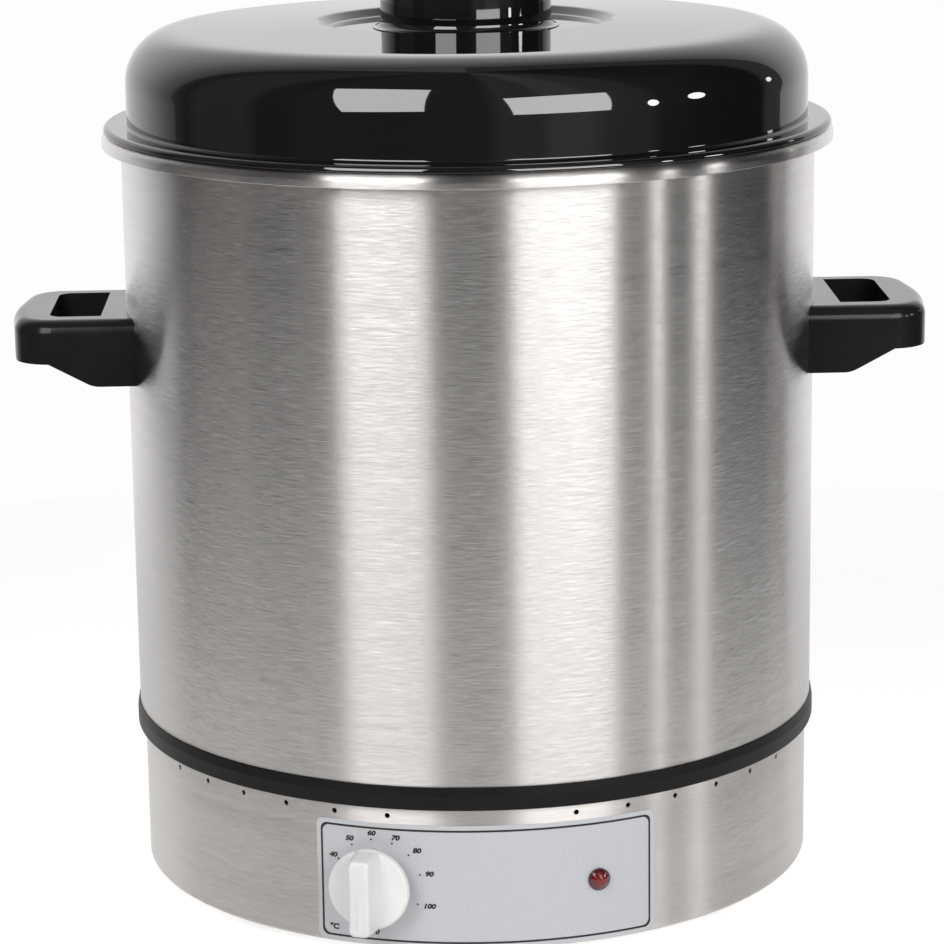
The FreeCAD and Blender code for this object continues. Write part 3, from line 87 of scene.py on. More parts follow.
def rounded(corners, step=8.0, ends=True):
    """A closed outline through corners (x, y) or (x, y, radius), with chords of a few degrees
    round each rounding and, with ends, one more point close to each end of a long side."""
    long_side, near_end = 3.0, 0.4
    points = []
    count = len(corners)
    for index, corner in enumerate(corners):
        here = Vector(corner[:2])
        if len(corner) == 2:
            points.append(here)
            continue
        back = (Vector(corners[index - 1][:2]) - here).normalized()
        ahead = (Vector(corners[(index + 1) % count][:2]) - here).normalized()
        half = math.acos(max(-1.0, min(1.0, back.dot(ahead)))) / 2
        run = corner[2] / math.tan(half)
        centre = here + (back + ahead).normalized() * (corner[2] / math.sin(half))
        first = here + back * run - centre
        last = here + ahead * run - centre
        sweep = first.angle_signed(last)
        parts = max(2, math.ceil(abs(math.degrees(sweep)) / step))
        for part in range(parts + 1):
            points.append(centre + Matrix.Rotation(-sweep * part / parts, 2) @ first)
    dense = []
    for index, here in enumerate(points):
        after = points[(index + 1) % len(points)]
        dense.append(here)
        length = (after - here).length
        if ends and length > long_side:
            share = near_end / length
            dense += [here.lerp(after, share), here.lerp(after, 1 - share)]
    return [tuple(point) for point in dense]


def circle(x, y, radius, sides=28):
    """Points round a circle."""
    turns = [math.tau * k / sides for k in range(sides)]
    return [(x + radius * math.cos(turn), y + radius * math.sin(turn)) for turn in turns]


def lathe(outline, steps=288):
    """Vertices and faces of a closed (radius, height) outline turned about +Z."""
    turns = [math.tau * step / steps for step in range(steps)]
    verts, rings = [], []
    for radius, height in outline:
        if radius < 1e-6:
            rings.append([len(verts)] * steps)
            verts.append((0.0, 0.0, height))
        else:
            rings.append(range(len(verts), len(verts) + steps))
            verts += [(radius * math.cos(turn), radius * math.sin(turn), height) for turn in turns]
    faces = []
    for low, high in zip(rings, rings[1:] + rings[:1]):
        for step in range(steps):
            after = (step + 1) % steps
            corners = dict.fromkeys([low[step], low[after], high[after], high[step]])
            if len(corners) > 2:
                faces.append(tuple(corners))
    return verts, faces


def band(low, high, count):
    """Faces between two rings of vertices, given by their first vertices."""
    pairs = [(k, (k + 1) % count) for k in range(count)]
    return [(low + k, low + after, high + after, high + k) for k, after in pairs]


def link_object(name, data):
    """A new object in the scene."""
    piece = bpy.data.objects.new(name, data)
    bpy.context.scene.collection.objects.link(piece)
    return piece


def make_object(name, verts, faces, place=None, sharp=30.0):
    """A mesh object from millimetres: welded, its normals outwards, smooth except at edges
    sharper than some degrees."""
    mesh = bpy.data.meshes.new(name)
    mesh.from_pydata([(x * MM, y * MM, z * MM) for x, y, z in verts], [], faces)
    if place is not None:
        mesh.transform(place)
    work = bmesh.new()
    work.from_mesh(mesh)
    bmesh.ops.remove_doubles(work, verts=work.verts, dist=1e-7)
    bmesh.ops.recalc_face_normals(work, faces=work.faces)
    work.to_mesh(mesh)
    work.free()
    mesh.shade_smooth()
    mesh.set_sharp_from_angle(angle=math.radians(sharp))
    return link_object(name, mesh)


def evaluated_mesh(piece):
    """A new mesh of an object as it shows, with its modifiers or its text made into faces."""
    bpy.context.view_layer.update()
    evaluated = piece.evaluated_get(bpy.context.evaluated_depsgraph_get())
    return bpy.data.meshes.new_from_object(evaluated)


def dress(piece, material, body, slot_name, *nodes):
    """Give a piece its material and its body, and hide the CAD nodes that it stands for; the slot
    name is not used.
    """
    piece.data.materials.clear()
    piece.data.materials.append(material)
    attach(piece, body)
    if nodes:
        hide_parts(*nodes)


def face_frame(azimuth, height):
    """The place of a flat drawing on the label, whose +Z looks out from the base at an azimuth."""
    angle = math.radians(azimuth)
    out = Vector((math.sin(angle), -math.cos(angle), 0))
    across = Vector((math.cos(angle), math.sin(angle), 0))
    axes = Matrix((across, Vector((0, 0, 1)), out)).transposed().to_4x4()
    centre = Vector((0, 0, height)) + out * LABEL_FACE
    return Matrix.Translation(centre * MM) @ axes


def on_cylinder(along, height, radius):
    """A point of a drawing wrapped round the base: along is its arc length on the skirt."""
    angle = along / SKIRT_RADIUS
    return radius * math.sin(angle), -radius * math.cos(angle), height


def inside(outline, x, y, margin):
    """Whether (x, y) is inside a convex outline by a margin."""
    sign = 0
    for (ax, ay), (bx, by) in zip(outline, outline[1:] + outline[:1]):
        length = math.hypot(bx - ax, by - ay)
        if length < 1e-9:
            continue
        side = ((bx - ax) * (y - ay) - (by - ay) * (x - ax)) / length
        if sign == 0:
            sign = 1 if side > 0 else -1
        if side * sign <= margin:
            return False
    return True


def flat_sheet(loops, holes, grid, border=None):
    """Points and triangles of a flat sheet with holes (x, y, radius). Its loops are its outline
    and the edges of its holes, and the grid's points are used where they are clear of the holes.
    A border is a convex outline that the points and triangles have to be inside as well."""
    clear_of_hole, clear_of_border = 0.9, 0.4
    # between a hole's own triangles and those round it, for holes of 28 sides
    hole_share = 0.985
    # all triangles, and the distance at which points count as one
    output, near = 0, 1e-5
    flat, edges = [], []
    for loop in loops:
        start = len(flat)
        flat += loop
        edges += [(start + k, start + (k + 1) % len(loop)) for k in range(len(loop))]
    for x, y in grid:
        clear = all(math.hypot(x - hx, y - hy) > radius + clear_of_hole for hx, hy, radius in holes)
        if clear and (border is None or inside(border, x, y, clear_of_border)):
            flat.append((x, y))
    found = delaunay_2d_cdt([Vector(p) for p in flat], edges, [], output, near)
    points, triangles = found[0], found[2]
    kept = []
    for triangle in triangles:
        x, y = sum((points[k] for k in triangle), Vector((0, 0))) / 3
        solid = all(math.hypot(x - hx, y - hy) > radius * hole_share for hx, hy, radius in holes)
        if solid and (border is None or inside(border, x, y, 0)):
            kept.append(tuple(triangle))
    return points, kept


def bent_sheet(points, triangles, outer, inner, walled=None):
    """Vertices and faces of a flat sheet wrapped round the base: the same triangles on its two
    faces, with a wall along each edge, or each that walled(start, end) picks."""
    count = len(points)
    verts = [on_cylinder(p.x, p.y, radius) for radius in (outer, inner) for p in points]
    faces = triangles + [tuple(k + count for k in reversed(t)) for t in triangles]
    directed = dict.fromkeys(pair for t in triangles for pair in zip(t, t[1:] + t[:1]))
    for a, b in directed:
        if (b, a) not in directed and (walled is None or walled(points[a], points[b])):
            faces.append((b, a, a + count, b + count))
    return verts, faces


# ---------------------------------------------------------------- materials


def new_material(name, colour, roughness, metallic=0.0, ior=1.5):
    """A material, its node tree and its shader."""
    material = bpy.data.materials.new(name)
    material.use_nodes = True
    tree = material.node_tree
    shader = tree.nodes["Principled BSDF"]
    shader.inputs["Base Color"].default_value = (*colour, 1)
    shader.inputs["Roughness"].default_value = roughness
    shader.inputs["Metallic"].default_value = metallic
    shader.inputs["IOR"].default_value = ior
    return material, tree, shader


def add_node(tree, kind, **settings):
    """A node with its settings: an input by its name with spaces as underscores, or a property."""
    node = tree.nodes.new(kind)
    for name, value in settings.items():
        if hasattr(node, name):
            setattr(node, name, value)
        else:
            node.inputs[name.replace("_", " ")].default_value = value
    return node


def feed(tree, value, socket):
    """Give an input a plain value, or link another node's output to it."""
    if isinstance(value, bpy.types.NodeSocket):
        tree.links.new(value, socket)
    else:
        socket.default_value = value


def maths(tree, operation, *values, clamp=False):
    """The result of a sum on numbers or outputs."""
    node = add_node(tree, "ShaderNodeMath", operation=operation, use_clamp=clamp)
    for socket, value in zip(node.inputs, values):
        feed(tree, value, socket)
    return node.outputs[0]


def vector_maths(tree, operation, *values):
    """The result of a sum on vectors: a number for a distance or a dot product."""
    node = add_node(tree, "ShaderNodeVectorMath", operation=operation)
    for socket, value in zip(node.inputs, values):
        feed(tree, value, socket)
    return node.outputs["Value" if operation in ("DISTANCE", "DOT_PRODUCT") else "Vector"]


def mix(tree, fac, first, second):
    """A number between two by a number."""
    node = add_node(tree, "ShaderNodeMix", data_type="FLOAT")
    for index, value in ((0, fac), (2, first), (3, second)):
        feed(tree, value, node.inputs[index])
    return node.outputs[0]


def mix_colours(tree, fac, first, second):
    """A colour between two by a number."""
    node = add_node(tree, "ShaderNodeMix", data_type="RGBA")
    for index, value in ((0, fac), (6, (*first, 1)), (7, (*second, 1))):
        feed(tree, value, node.inputs[index])
    return node.outputs[2]


def noise(tree, stretch, detail):
    """Noise in the object's own coordinates, with its scale per metre along each axis."""
    place = add_node(tree, "ShaderNodeTexCoord")
    mapping = add_node(tree, "ShaderNodeMapping", Scale=stretch)
    made = add_node(tree, "ShaderNodeTexNoise", Scale=1.0, Detail=detail, Roughness=0.55)
    tree.links.new(place.outputs["Object"], mapping.inputs["Vector"])
    tree.links.new(mapping.outputs["Vector"], made.inputs["Vector"])
    return made.outputs["Fac"]


def spread(tree, fac, low, high, start=0.3, end=0.7):
    """A number that runs from low to high as a noise value runs from start to end."""
    node = add_node(tree, "ShaderNodeMapRange", From_Min=start, From_Max=end, To_Min=low,
                    To_Max=high)
    tree.links.new(fac, node.inputs["Value"])
    return node.outputs["Result"]


def bump(tree, shader, height, strength, distance):
    """Bump from a height, distance in millimetres."""
    node = add_node(tree, "ShaderNodeBump", Strength=strength, Distance=distance * MM)
    tree.links.new(height, node.inputs["Height"])
    tree.links.new(node.outputs["Normal"], shader.inputs["Normal"])


def mottled(tree, shader, fac, first, second):
    """The shader's colour between two by a noise value."""
    blend = mix_colours(tree, spread(tree, fac, 0, 1), first, second)
    tree.links.new(blend, shader.inputs["Base Color"])


def uneven(tree, shader, fac, low, high):
    """The shader's roughness between two by a noise value."""
    tree.links.new(spread(tree, fac, low, high), shader.inputs["Roughness"])


def brushed_steel(name, colour, dark, roughness, scatter):
    """Stainless steel brushed round the pot: reflections stay narrow across and are drawn out
    upright, because each brushed line tips the surface up or down, by at most the scatter."""
    streak_tip = 0.012
    smoother, duller = 0.02, 0.03
    material, tree, shader = new_material(name, colour, roughness, metallic=1.0)
    # streaks in the colour, bands of another finish, and the finest brushed lines
    streaks = noise(tree, (35, 35, 1700), detail=2.0)
    bands = noise(tree, (5, 5, 260), detail=2.0)
    lines = noise(tree, (110, 110, 12500), detail=1.0)
    mottled(tree, shader, streaks, dark, colour)
    uneven(tree, shader, bands, roughness - smoother, roughness + duller)
    shader.inputs["Anisotropic"].default_value = 1.0
    # a quarter of a turn, from round the axis to along it
    shader.inputs["Anisotropic Rotation"].default_value = 0.25
    tangent = add_node(tree, "ShaderNodeTangent", direction_type="RADIAL", axis="Z")
    tree.links.new(tangent.outputs["Tangent"], shader.inputs["Tangent"])
    tip = maths(tree, "ADD", spread(tree, lines, -scatter, scatter, start=0.2, end=0.8),
                spread(tree, streaks, -streak_tip, streak_tip))
    tilt = add_node(tree, "ShaderNodeCombineXYZ")
    tree.links.new(tip, tilt.inputs["Z"])
    place = add_node(tree, "ShaderNodeNewGeometry")
    tipped = vector_maths(tree, "ADD", place.outputs["Normal"], tilt.outputs["Vector"])
    tree.links.new(vector_maths(tree, "NORMALIZE", tipped), shader.inputs["Normal"])
    return material


def plastic(name, colour, roughness, grain=700.0, grain_strength=0.1, vary=0.06, specular=0.5,
            ior=1.5):
    """Moulded plastic: a fine grain, and a finish that is a little uneven."""
    paler, lift, grain_depth = 1.18, 0.002, 0.05
    material, tree, shader = new_material(name, colour, roughness, ior=ior)
    grains = noise(tree, (grain, grain, grain), detail=2.0)
    broad = noise(tree, (22, 22, 22), detail=3.0)
    pale = tuple(min(1.0, value * paler + lift) for value in colour)
    mottled(tree, shader, broad, colour, pale)
    uneven(tree, shader, broad, roughness - vary, roughness + vary)
    shader.inputs["Specular IOR Level"].default_value = specular
    bump(tree, shader, grains, grain_strength, grain_depth)
    return material


def plain_metal(name, colour, roughness):
    """Plated or mill-finish metal with a faint mottle."""
    darker, smoother, duller = 0.82, 0.06, 0.08
    material, tree, shader = new_material(name, colour, roughness, metallic=1.0)
    mottle = noise(tree, (260, 260, 260), detail=3.0)
    mottled(tree, shader, mottle, tuple(value * darker for value in colour), colour)
    uneven(tree, shader, mottle, roughness - smoother, roughness + duller)
    return material


def red_lens():
    """Clear red plastic over a dark lamp: deep red, with painted light that makes it brighter
    towards its middle.
    """
    bright_radius, dark_radius = 2.2 * MM, 5.6 * MM
    material, tree, shader = new_material("lens_red_clear", (0.35, 0.008, 0.008), 0.12)
    place = add_node(tree, "ShaderNodeTexCoord")
    centre = face_frame(LAMP_AZIMUTH, LAMP_HEIGHT).translation
    away = vector_maths(tree, "DISTANCE", place.outputs["Object"], centre)
    # painted glow: the lens's colour is made brighter towards its middle, standing in for light
    # showing through the clear dome
    glow = spread(tree, away, 1, 0, bright_radius, dark_radius)
    red = mix_colours(tree, glow, (0.035, 0.002, 0.004), (0.5, 0.02, 0.016))
    tree.links.new(red, shader.inputs["Base Color"])
    bump(tree, shader, noise(tree, (420, 420, 420), detail=1.0), strength=0.35, distance=0.4)
    shader.inputs["Coat Weight"].default_value = 0.6
    return material


def foil():
    """Silver-grey printed foil: satin, and faintly mottled."""
    material, tree, shader = new_material("label_silver", (0.62, 0.635, 0.66), 0.42, metallic=0.15)
    mottle = noise(tree, (900, 900, 900), detail=2.0)
    mottled(tree, shader, mottle, (0.6, 0.615, 0.64), (0.64, 0.655, 0.68))
    return material


POT_STEEL = brushed_steel("pot_brushed_steel", (0.69, 0.665, 0.643), (0.645, 0.62, 0.597),
                          roughness=0.3, scatter=0.27)
SKIRT_STEEL = brushed_steel("skirt_brushed_steel", (0.78, 0.752, 0.728), (0.73, 0.702, 0.678),
                            roughness=0.36, scatter=0.25)
RING_BLACK = plastic("ring_matt_black", (0.006, 0.006, 0.0065), 0.4, specular=0.2)
HANDLE_BLACK = plastic("handle_black", (0.011, 0.011, 0.0117), 0.17, grain=900, vary=0.04,
                       specular=0.32)
LID_BLACK = plastic("lid_gloss_black", (0.004, 0.004, 0.0048), 0.03, grain=300,
                    grain_strength=0.0, vary=0.01, ior=1.9)
LABEL_SILVER = foil()
PRINT_BLACK = plastic("print_black", (0.012, 0.012, 0.014), 0.5, grain_strength=0.02)
KNOB_WHITE = plastic("knob_white", (0.82, 0.825, 0.81), 0.32, grain=500, grain_strength=0.03,
                     vary=0.03)
LENS_RED = red_lens()
HOUSING_BLACK = plastic("housing_black", (0.022, 0.022, 0.024), 0.5, grain_strength=0.2)
PLATED_STEEL = plain_metal("plated_steel", (0.62, 0.61, 0.59), 0.34)
ALUMINIUM = plain_metal("mill_aluminium", (0.72, 0.72, 0.73), 0.36)
ELEMENT_METAL = plain_metal("heat_dulled_metal", (0.42, 0.4, 0.38), 0.5)
COPPER = plain_metal("drawn_copper", (0.78, 0.42, 0.27), 0.3)
NYLON = plastic("natural_nylon", (0.78, 0.76, 0.7), 0.45, grain_strength=0.05)
SILICONE = plastic("silicone_sleeve", (0.66, 0.63, 0.56), 0.6, grain_strength=0.05)
RUBBER = plastic("foot_rubber", (0.02, 0.02, 0.02), 0.75, grain_strength=0.3)


# ---------------------------------------------------------------- turned pieces


def make_pot():
    """Pot with its rim turned out and down, its lip rolled and its foot rounded."""
    bore = POT_RADIUS - POT_WALL
    lip_low = RIM_TOP - RIM_HEIGHT
    outline = rounded([
        (0, POT_BASE),
        (POT_RADIUS, POT_BASE, 8.8),
        (POT_RADIUS, RIM_TOP - POT_WALL, 1.2),
        (RIM_RADIUS - POT_WALL, RIM_TOP - POT_WALL, 3.7),
        (RIM_RADIUS - POT_WALL, lip_low, 0.35),
        (RIM_RADIUS, lip_low, 0.35),
        (RIM_RADIUS, RIM_TOP, 4.5),
        (bore, RIM_TOP, 1.4),
        (bore, POT_BASE + POT_WALL, 8.0),
        (0, POT_BASE + POT_WALL),
    ])
    piece = make_object("pot_shell", *lathe(outline))
    dress(piece, POT_STEEL, "melter", "pot_steel", "pot")


def make_ring():
    """Plastic ring between pot and base, its top edge bevelled against the pot."""
    bore, spigot, face, bevelled = 157.0, 171.6, 176.4, 175.7
    spigot_low = SKIRT_TOP - 2.4
    bevel_low = SKIRT_TOP + 6.9
    top = SKIRT_TOP + 11.4
    outline = rounded([
        (bore, spigot_low),
        (spigot, spigot_low),
        (spigot, SKIRT_TOP),
        (face, SKIRT_TOP, 0.5),
        (face, bevel_low, 0.6),
        (bevelled, top, 0.3),
        (POT_RADIUS, top),
        (POT_RADIUS, POT_BASE),
        (bore, POT_BASE),
    ])
    piece = make_object("ring_moulding", *lathe(outline))
    dress(piece, RING_BLACK, "melter", "ring_black", "insulating_ring")


def make_lid():
    """Gloss lid: plug, flange with a rounded edge, rounded shoulder and a round recess."""
    wall, plug, flange, hole = 2.5, 171.8, 183.5, 2.6
    plug_low = LID_SEAT - 8.0
    flange_top = LID_SEAT + LID_FLANGE
    shoulder = LID_TOP - 2.9
    recess_top, recess_floor = 75.2, 69.6
    outline = rounded([
        (plug - wall, plug_low, 0.8),
        (plug, plug_low, 0.8),
        (plug, LID_SEAT, 0.5),
        (flange, LID_SEAT, 0.4),
        (flange, flange_top, 2.6),
        (plug, flange_top, 1.4),
        (plug, shoulder, 27.0),
        (recess_top, LID_TOP, 4.0),
        (recess_floor, LID_FLOOR, 2.5),
        (hole, LID_FLOOR, 0.4),
        (hole, LID_FLOOR - wall, 0.4),
        (recess_floor + wall, LID_FLOOR - wall, 4.0),
        (recess_top + wall, LID_TOP - wall, 3.0),
        (plug - wall, shoulder - wall, 24.5),
    ], step=5.0)
    piece = make_object("lid_moulding", *lathe(outline, 320))
    dress(piece, LID_BLACK, "lid_assembly", "lid_black", "lid")


def make_lid_knob():
    """Hollow gloss knob with a flared foot, its top edge rounded."""
    radius, wall, foot, boss, hole = 43.0, 2.5, 47.0, 6.0, 2.5
    top = LID_FLOOR + 32.5
    hole_end = LID_FLOOR + 18.3
    outline = rounded([
        (hole, hole_end, 0.4),
        (hole, LID_FLOOR),
        (boss, LID_FLOOR, 0.4),
        (boss, top - wall, 1.0),
        (radius - wall, top - wall, 1.5),
        (radius - wall, LID_FLOOR, 0.5),
        (foot, LID_FLOOR, 0.15),
        (foot, LID_FLOOR + 0.5, 0.2),
        (radius, LID_FLOOR + 0.6, 3.6),
        (radius, top, 2.6),
        (0, top),
        (0, hole_end),
    ], step=6.0)
    piece = make_object("lid_knob_moulding", *lathe(outline, 200))
    dress(piece, LID_BLACK, "lid_assembly", "lid_black", "lid_knob")


# ---------------------------------------------------------------- base


def label_openings():
    """Openings under the label as (arc length, height, radius): the thermostat's bush, its two
    screws and the lamp."""
    x = KNOB_AZIMUTH * ARC
    bush_radius, lamp_radius, screw_radius, screw_away = 5.1, 4.6, 2.1, 14.0
    return [
        (x, KNOB_HEIGHT, bush_radius),
        (x, KNOB_HEIGHT + screw_away, screw_radius),
        (x, KNOB_HEIGHT - screw_away, screw_radius),
        (LAMP_AZIMUTH * ARC, LAMP_HEIGHT, lamp_radius),
    ]


def vents():
    """Vent holes in the skirt, a row on each side of the front and a little to the left."""
    per_side, first, pitch, shift = 6, 15.25, 9.0, -0.75
    below_top, radius = 4.7, 1.3
    holes = []
    for side in (-1, 1):
        for index in range(per_side):
            azimuth = side * (first + pitch * index) + shift
            holes.append((azimuth * ARC, SKIRT_TOP - below_top, radius))
    return holes


def make_skirt():
    """Steel skirt in one sheet, with its vents and openings, rolled in under its lower edge."""
    steps, bands, near = 288, 9, 1e-4
    turn = math.tau * SKIRT_RADIUS
    inner = SKIRT_RADIUS - SKIRT_WALL
    low = SKIRT_LOW + HEM_RADIUS
    columns = [-turn / 2 + turn * k / steps for k in range(steps + 1)]
    rows = [low + (SKIRT_TOP - low) * k / bands for k in range(bands + 1)]
    outline = [(x, low) for x in columns] + [(columns[-1], y) for y in rows[1:-1]]
    outline += [(x, SKIRT_TOP) for x in reversed(columns)]
    outline += [(columns[0], y) for y in reversed(rows[1:-1])]
    # the gland's opening lies across the seam at the back, so it is cut as two half circles
    half = [math.radians(-90 + 180 * k / 14) for k in range(15)]
    gland = [(-turn / 2 + GLAND_RADIUS * math.cos(a), GLAND_HEIGHT + GLAND_RADIUS * math.sin(a))
             for a in half]
    holes = vents() + label_openings()
    loops = [outline] + [circle(*hole) for hole in holes] + [gland, [(-x, y) for x, y in gland]]
    holes += [(side * turn / 2, GLAND_HEIGHT, GLAND_RADIUS) for side in (-1, 1)]
    grid = [(x, y) for x in columns[1:-1] for y in rows[1:-1]]

    def walled(start, end):
        at_low = all(abs(point.y - low) < near for point in (start, end))
        at_seam = all(abs(abs(point.x) - turn / 2) < near for point in (start, end))
        return not at_low and not at_seam

    verts, faces = bent_sheet(*flat_sheet(loops, holes, grid), SKIRT_RADIUS, inner, walled)
    # the hem: from the wall's lower edge round to the flange and back, its roundings a hair small
    # so that their ends and the wall's edge stay apart
    hair = 0.01
    hem_top = SKIRT_LOW + SKIRT_WALL
    hem = rounded([
        (SKIRT_RADIUS, low),
        (SKIRT_RADIUS, SKIRT_LOW, HEM_RADIUS - hair),
        (HEM_REACH, SKIRT_LOW),
        (HEM_REACH, hem_top),
        (inner, hem_top, HEM_RADIUS - SKIRT_WALL - hair),
        (inner, low),
    ])
    base = len(verts)
    for radius, height in hem:
        verts += [on_cylinder(along, height, radius) for along in columns[:-1]]
    for row in range(len(hem) - 1):
        faces += band(base + row * steps, base + (row + 1) * steps, steps)
    piece = make_object("skirt_sheet", verts, faces)
    dress(piece, SKIRT_STEEL, "melter", "skirt_steel", "base_skirt")


def rounded_plate(inset, corner):
    """The label's outline, moved in by an inset, as (arc length, height) points."""
    x = LABEL_LENGTH / 2 - inset
    low, high = LABEL_LOW + inset, LABEL_TOP - inset
    points = []
    for cx, cy, start in ((x, high, 0), (-x, high, 90), (-x, low, 180), (x, low, 270)):
        mx = cx - math.copysign(corner, cx)
        my = cy - corner if cy == high else cy + corner
        for k in range(9):
            turn = math.radians(start + 90 * k / 8)
            points.append((mx + corner * math.cos(turn), my + corner * math.sin(turn)))
    return points


def subdivided(points):
    """The same closed outline with no side longer than three millimetres."""
    longest = 3.0
    dense = []
    for here, after in zip(points, points[1:] + points[:1]):
        parts = max(1, math.ceil(math.dist(here, after) / longest))
        for k in range(parts):
            dense.append(tuple(h + (a - h) * k / parts for h, a in zip(here, after)))
    return dense


def make_label():
    """Thin foil plate on the skirt."""
    holes = label_openings()
    outline = subdivided(rounded_plate(0, LABEL_CORNER))
    # 57 columns of 10 points, 3 mm apart along the label and 6 mm apart up it
    grid = [(-84 + 3.0 * i, LABEL_LOW + 4 + 6.0 * j) for i in range(57) for j in range(10)]
    loops = [outline] + [circle(*hole) for hole in holes]
    sheet = flat_sheet(loops, holes, grid, outline)
    piece = make_object("label_foil_plate", *bent_sheet(*sheet, LABEL_FACE, SKIRT_RADIUS))
    dress(piece, LABEL_SILVER, "melter", "label_foil", "label_plate")


# ---------------------------------------------------------------- print on the label


PRINT_LOW = LABEL_FACE - 0.01
PRINT_HIGH = LABEL_FACE + 0.035

BORDER_OUTER = 2.2
BORDER_INNER = 3.25
BORDER_CORNER = 3.4

# the dial's marks: number, its dot's clockwise angle from straight up, and the number's place
# from the dial's centre
DIAL = [
    ("0", 180.0, -0.4, -25.0),
    ("", -89.3, 0.0, 0.0),
    ("40", -61.5, -22.4, 12.3),
    ("50", -33.8, -13.7, 21.6),
    ("60", -6.5, -2.4, 25.2),
    ("70", 21.0, 9.6, 23.6),
    ("80", 46.4, 20.0, 17.7),
    ("90", 75.3, 25.9, 6.1),
    ("100", 114.9, 25.7, -10.3),
]
# the dial is printed a little off the knob's centre
DIAL_X = KNOB_AZIMUTH * ARC + 0.8
DIAL_Y = KNOB_HEIGHT - 0.4
DIAL_RADIUS = 22.2
DOT_RADIUS = 0.5
NUMBER_SIZE = 3.3
UNIT_X = -76.6
UNIT_Y = 12.9
UNIT_SIZE = 3.7


def make_border():
    """The printed line round the label."""
    outer = subdivided(rounded_plate(BORDER_OUTER, BORDER_CORNER))
    middle = (LABEL_LOW + LABEL_TOP) / 2
    half_length, half_height = LABEL_LENGTH / 2, LABEL_TOP - middle
    sx = (half_length - BORDER_INNER) / (half_length - BORDER_OUTER)
    sy = (half_height - BORDER_INNER) / (half_height - BORDER_OUTER)
    inner = [(x * sx, middle + (y - middle) * sy) for x, y in outer]
    verts, faces = [], []
    for radius in (PRINT_HIGH, PRINT_LOW):
        for loop in (outer, inner):
            verts += [on_cylinder(x, y, radius) for x, y in loop]
    count = len(outer)
    for a, b in ((0, 1), (1, 3), (3, 2), (2, 0)):
        faces += band(a * count, b * count, count)
    piece = make_object("label_border", verts, faces, sharp=20)
    dress(piece, PRINT_BLACK, "melter", "label_foil")


def printed_text(name, text, x, y, size, slant=0.22):
    """Bold, wide numbers printed on the label, centred at (x, y)."""
    bold, wide = 0.06, 1.2
    curve = bpy.data.curves.new(name, "FONT")
    curve.body = text
    curve.size = size
    curve.align_x = "CENTER"
    curve.align_y = "CENTER"
    curve.shear = slant
    curve.offset = bold * size
    curve.extrude = (PRINT_HIGH - PRINT_LOW) / 2
    source = link_object(name + "_source", curve)
    mesh = evaluated_mesh(source)
    bpy.data.objects.remove(source)
    bpy.data.curves.remove(curve)
    middle = (PRINT_HIGH + PRINT_LOW) / 2
    places = [v.co for v in mesh.vertices]
    verts = [on_cylinder(x + co.x * wide, y + co.y, middle + co.z) for co in places]
    faces = [tuple(p.vertices) for p in mesh.polygons]
    bpy.data.meshes.remove(mesh)
    return verts, faces


def printed_dot(x, y):
    """A printed dot."""
    sides = 20
    ring = circle(x, y, DOT_RADIUS, sides)
    verts = [on_cylinder(px, py, level) for level in (PRINT_HIGH, PRINT_LOW) for px, py in ring]
    faces = [tuple(range(sides)), tuple(reversed(range(sides, 2 * sides)))]
    return verts, faces + band(0, sides, sides)


def make_scale():
    """The dial's dots and numbers, and the unit."""
    parts = []
    for text, angle, along, up in DIAL:
        turn = math.radians(angle)
        parts.append(printed_dot(DIAL_X + DIAL_RADIUS * math.sin(turn),
                                 DIAL_Y + DIAL_RADIUS * math.cos(turn)))
        if text:
            place = DIAL_X + along, DIAL_Y + up
            parts.append(printed_text("number_" + text, text, *place, NUMBER_SIZE))
    parts.append(printed_text("unit", "°C", UNIT_X, UNIT_Y, UNIT_SIZE, slant=0.1))
    verts, faces = [], []
    for part_verts, part_faces in parts:
        base = len(verts)
        verts += part_verts
        faces += [tuple(k + base for k in face) for face in part_faces]
    piece = make_object("label_scale", verts, faces, sharp=20)
    dress(piece, PRINT_BLACK, "melter", "label_foil")


# ---------------------------------------------------------------- control knob and lamp


def bar_mesh():
    """The grip bar from inside the disc to its top, with rounded corners and a rounded top edge."""
    # each level is (height, width, length), and the last three round the top edge
    levels = [(10.5, 13.0, 39.0), (12.0, 13.0, 39.0), (25.0, 10.6, 38.1)]
    for turn in (math.radians(angle) for angle in (30, 60, 90)):
        inset = 3.0 * (1 - math.cos(turn))
        levels.append((26.5 - 1.5 * (1 - math.sin(turn)), 10.5 - inset, 38.0 - inset))
    verts = []
    for height, width, length in levels:
        x, y = width / 2, length / 2
        corner = min(2.6, x - 0.2)
        corners = [(x, y, corner), (-x, y, corner), (-x, -y, corner), (x, -y, corner)]
        verts += [(px, py, height) for px, py in rounded(corners, ends=False)]
    count = len(verts) // len(levels)
    faces = [tuple(range(count)), tuple(range(len(verts) - count, len(verts)))]
    for row in range(len(levels) - 1):
        faces += band(row * count, (row + 1) * count, count)
    return verts, faces


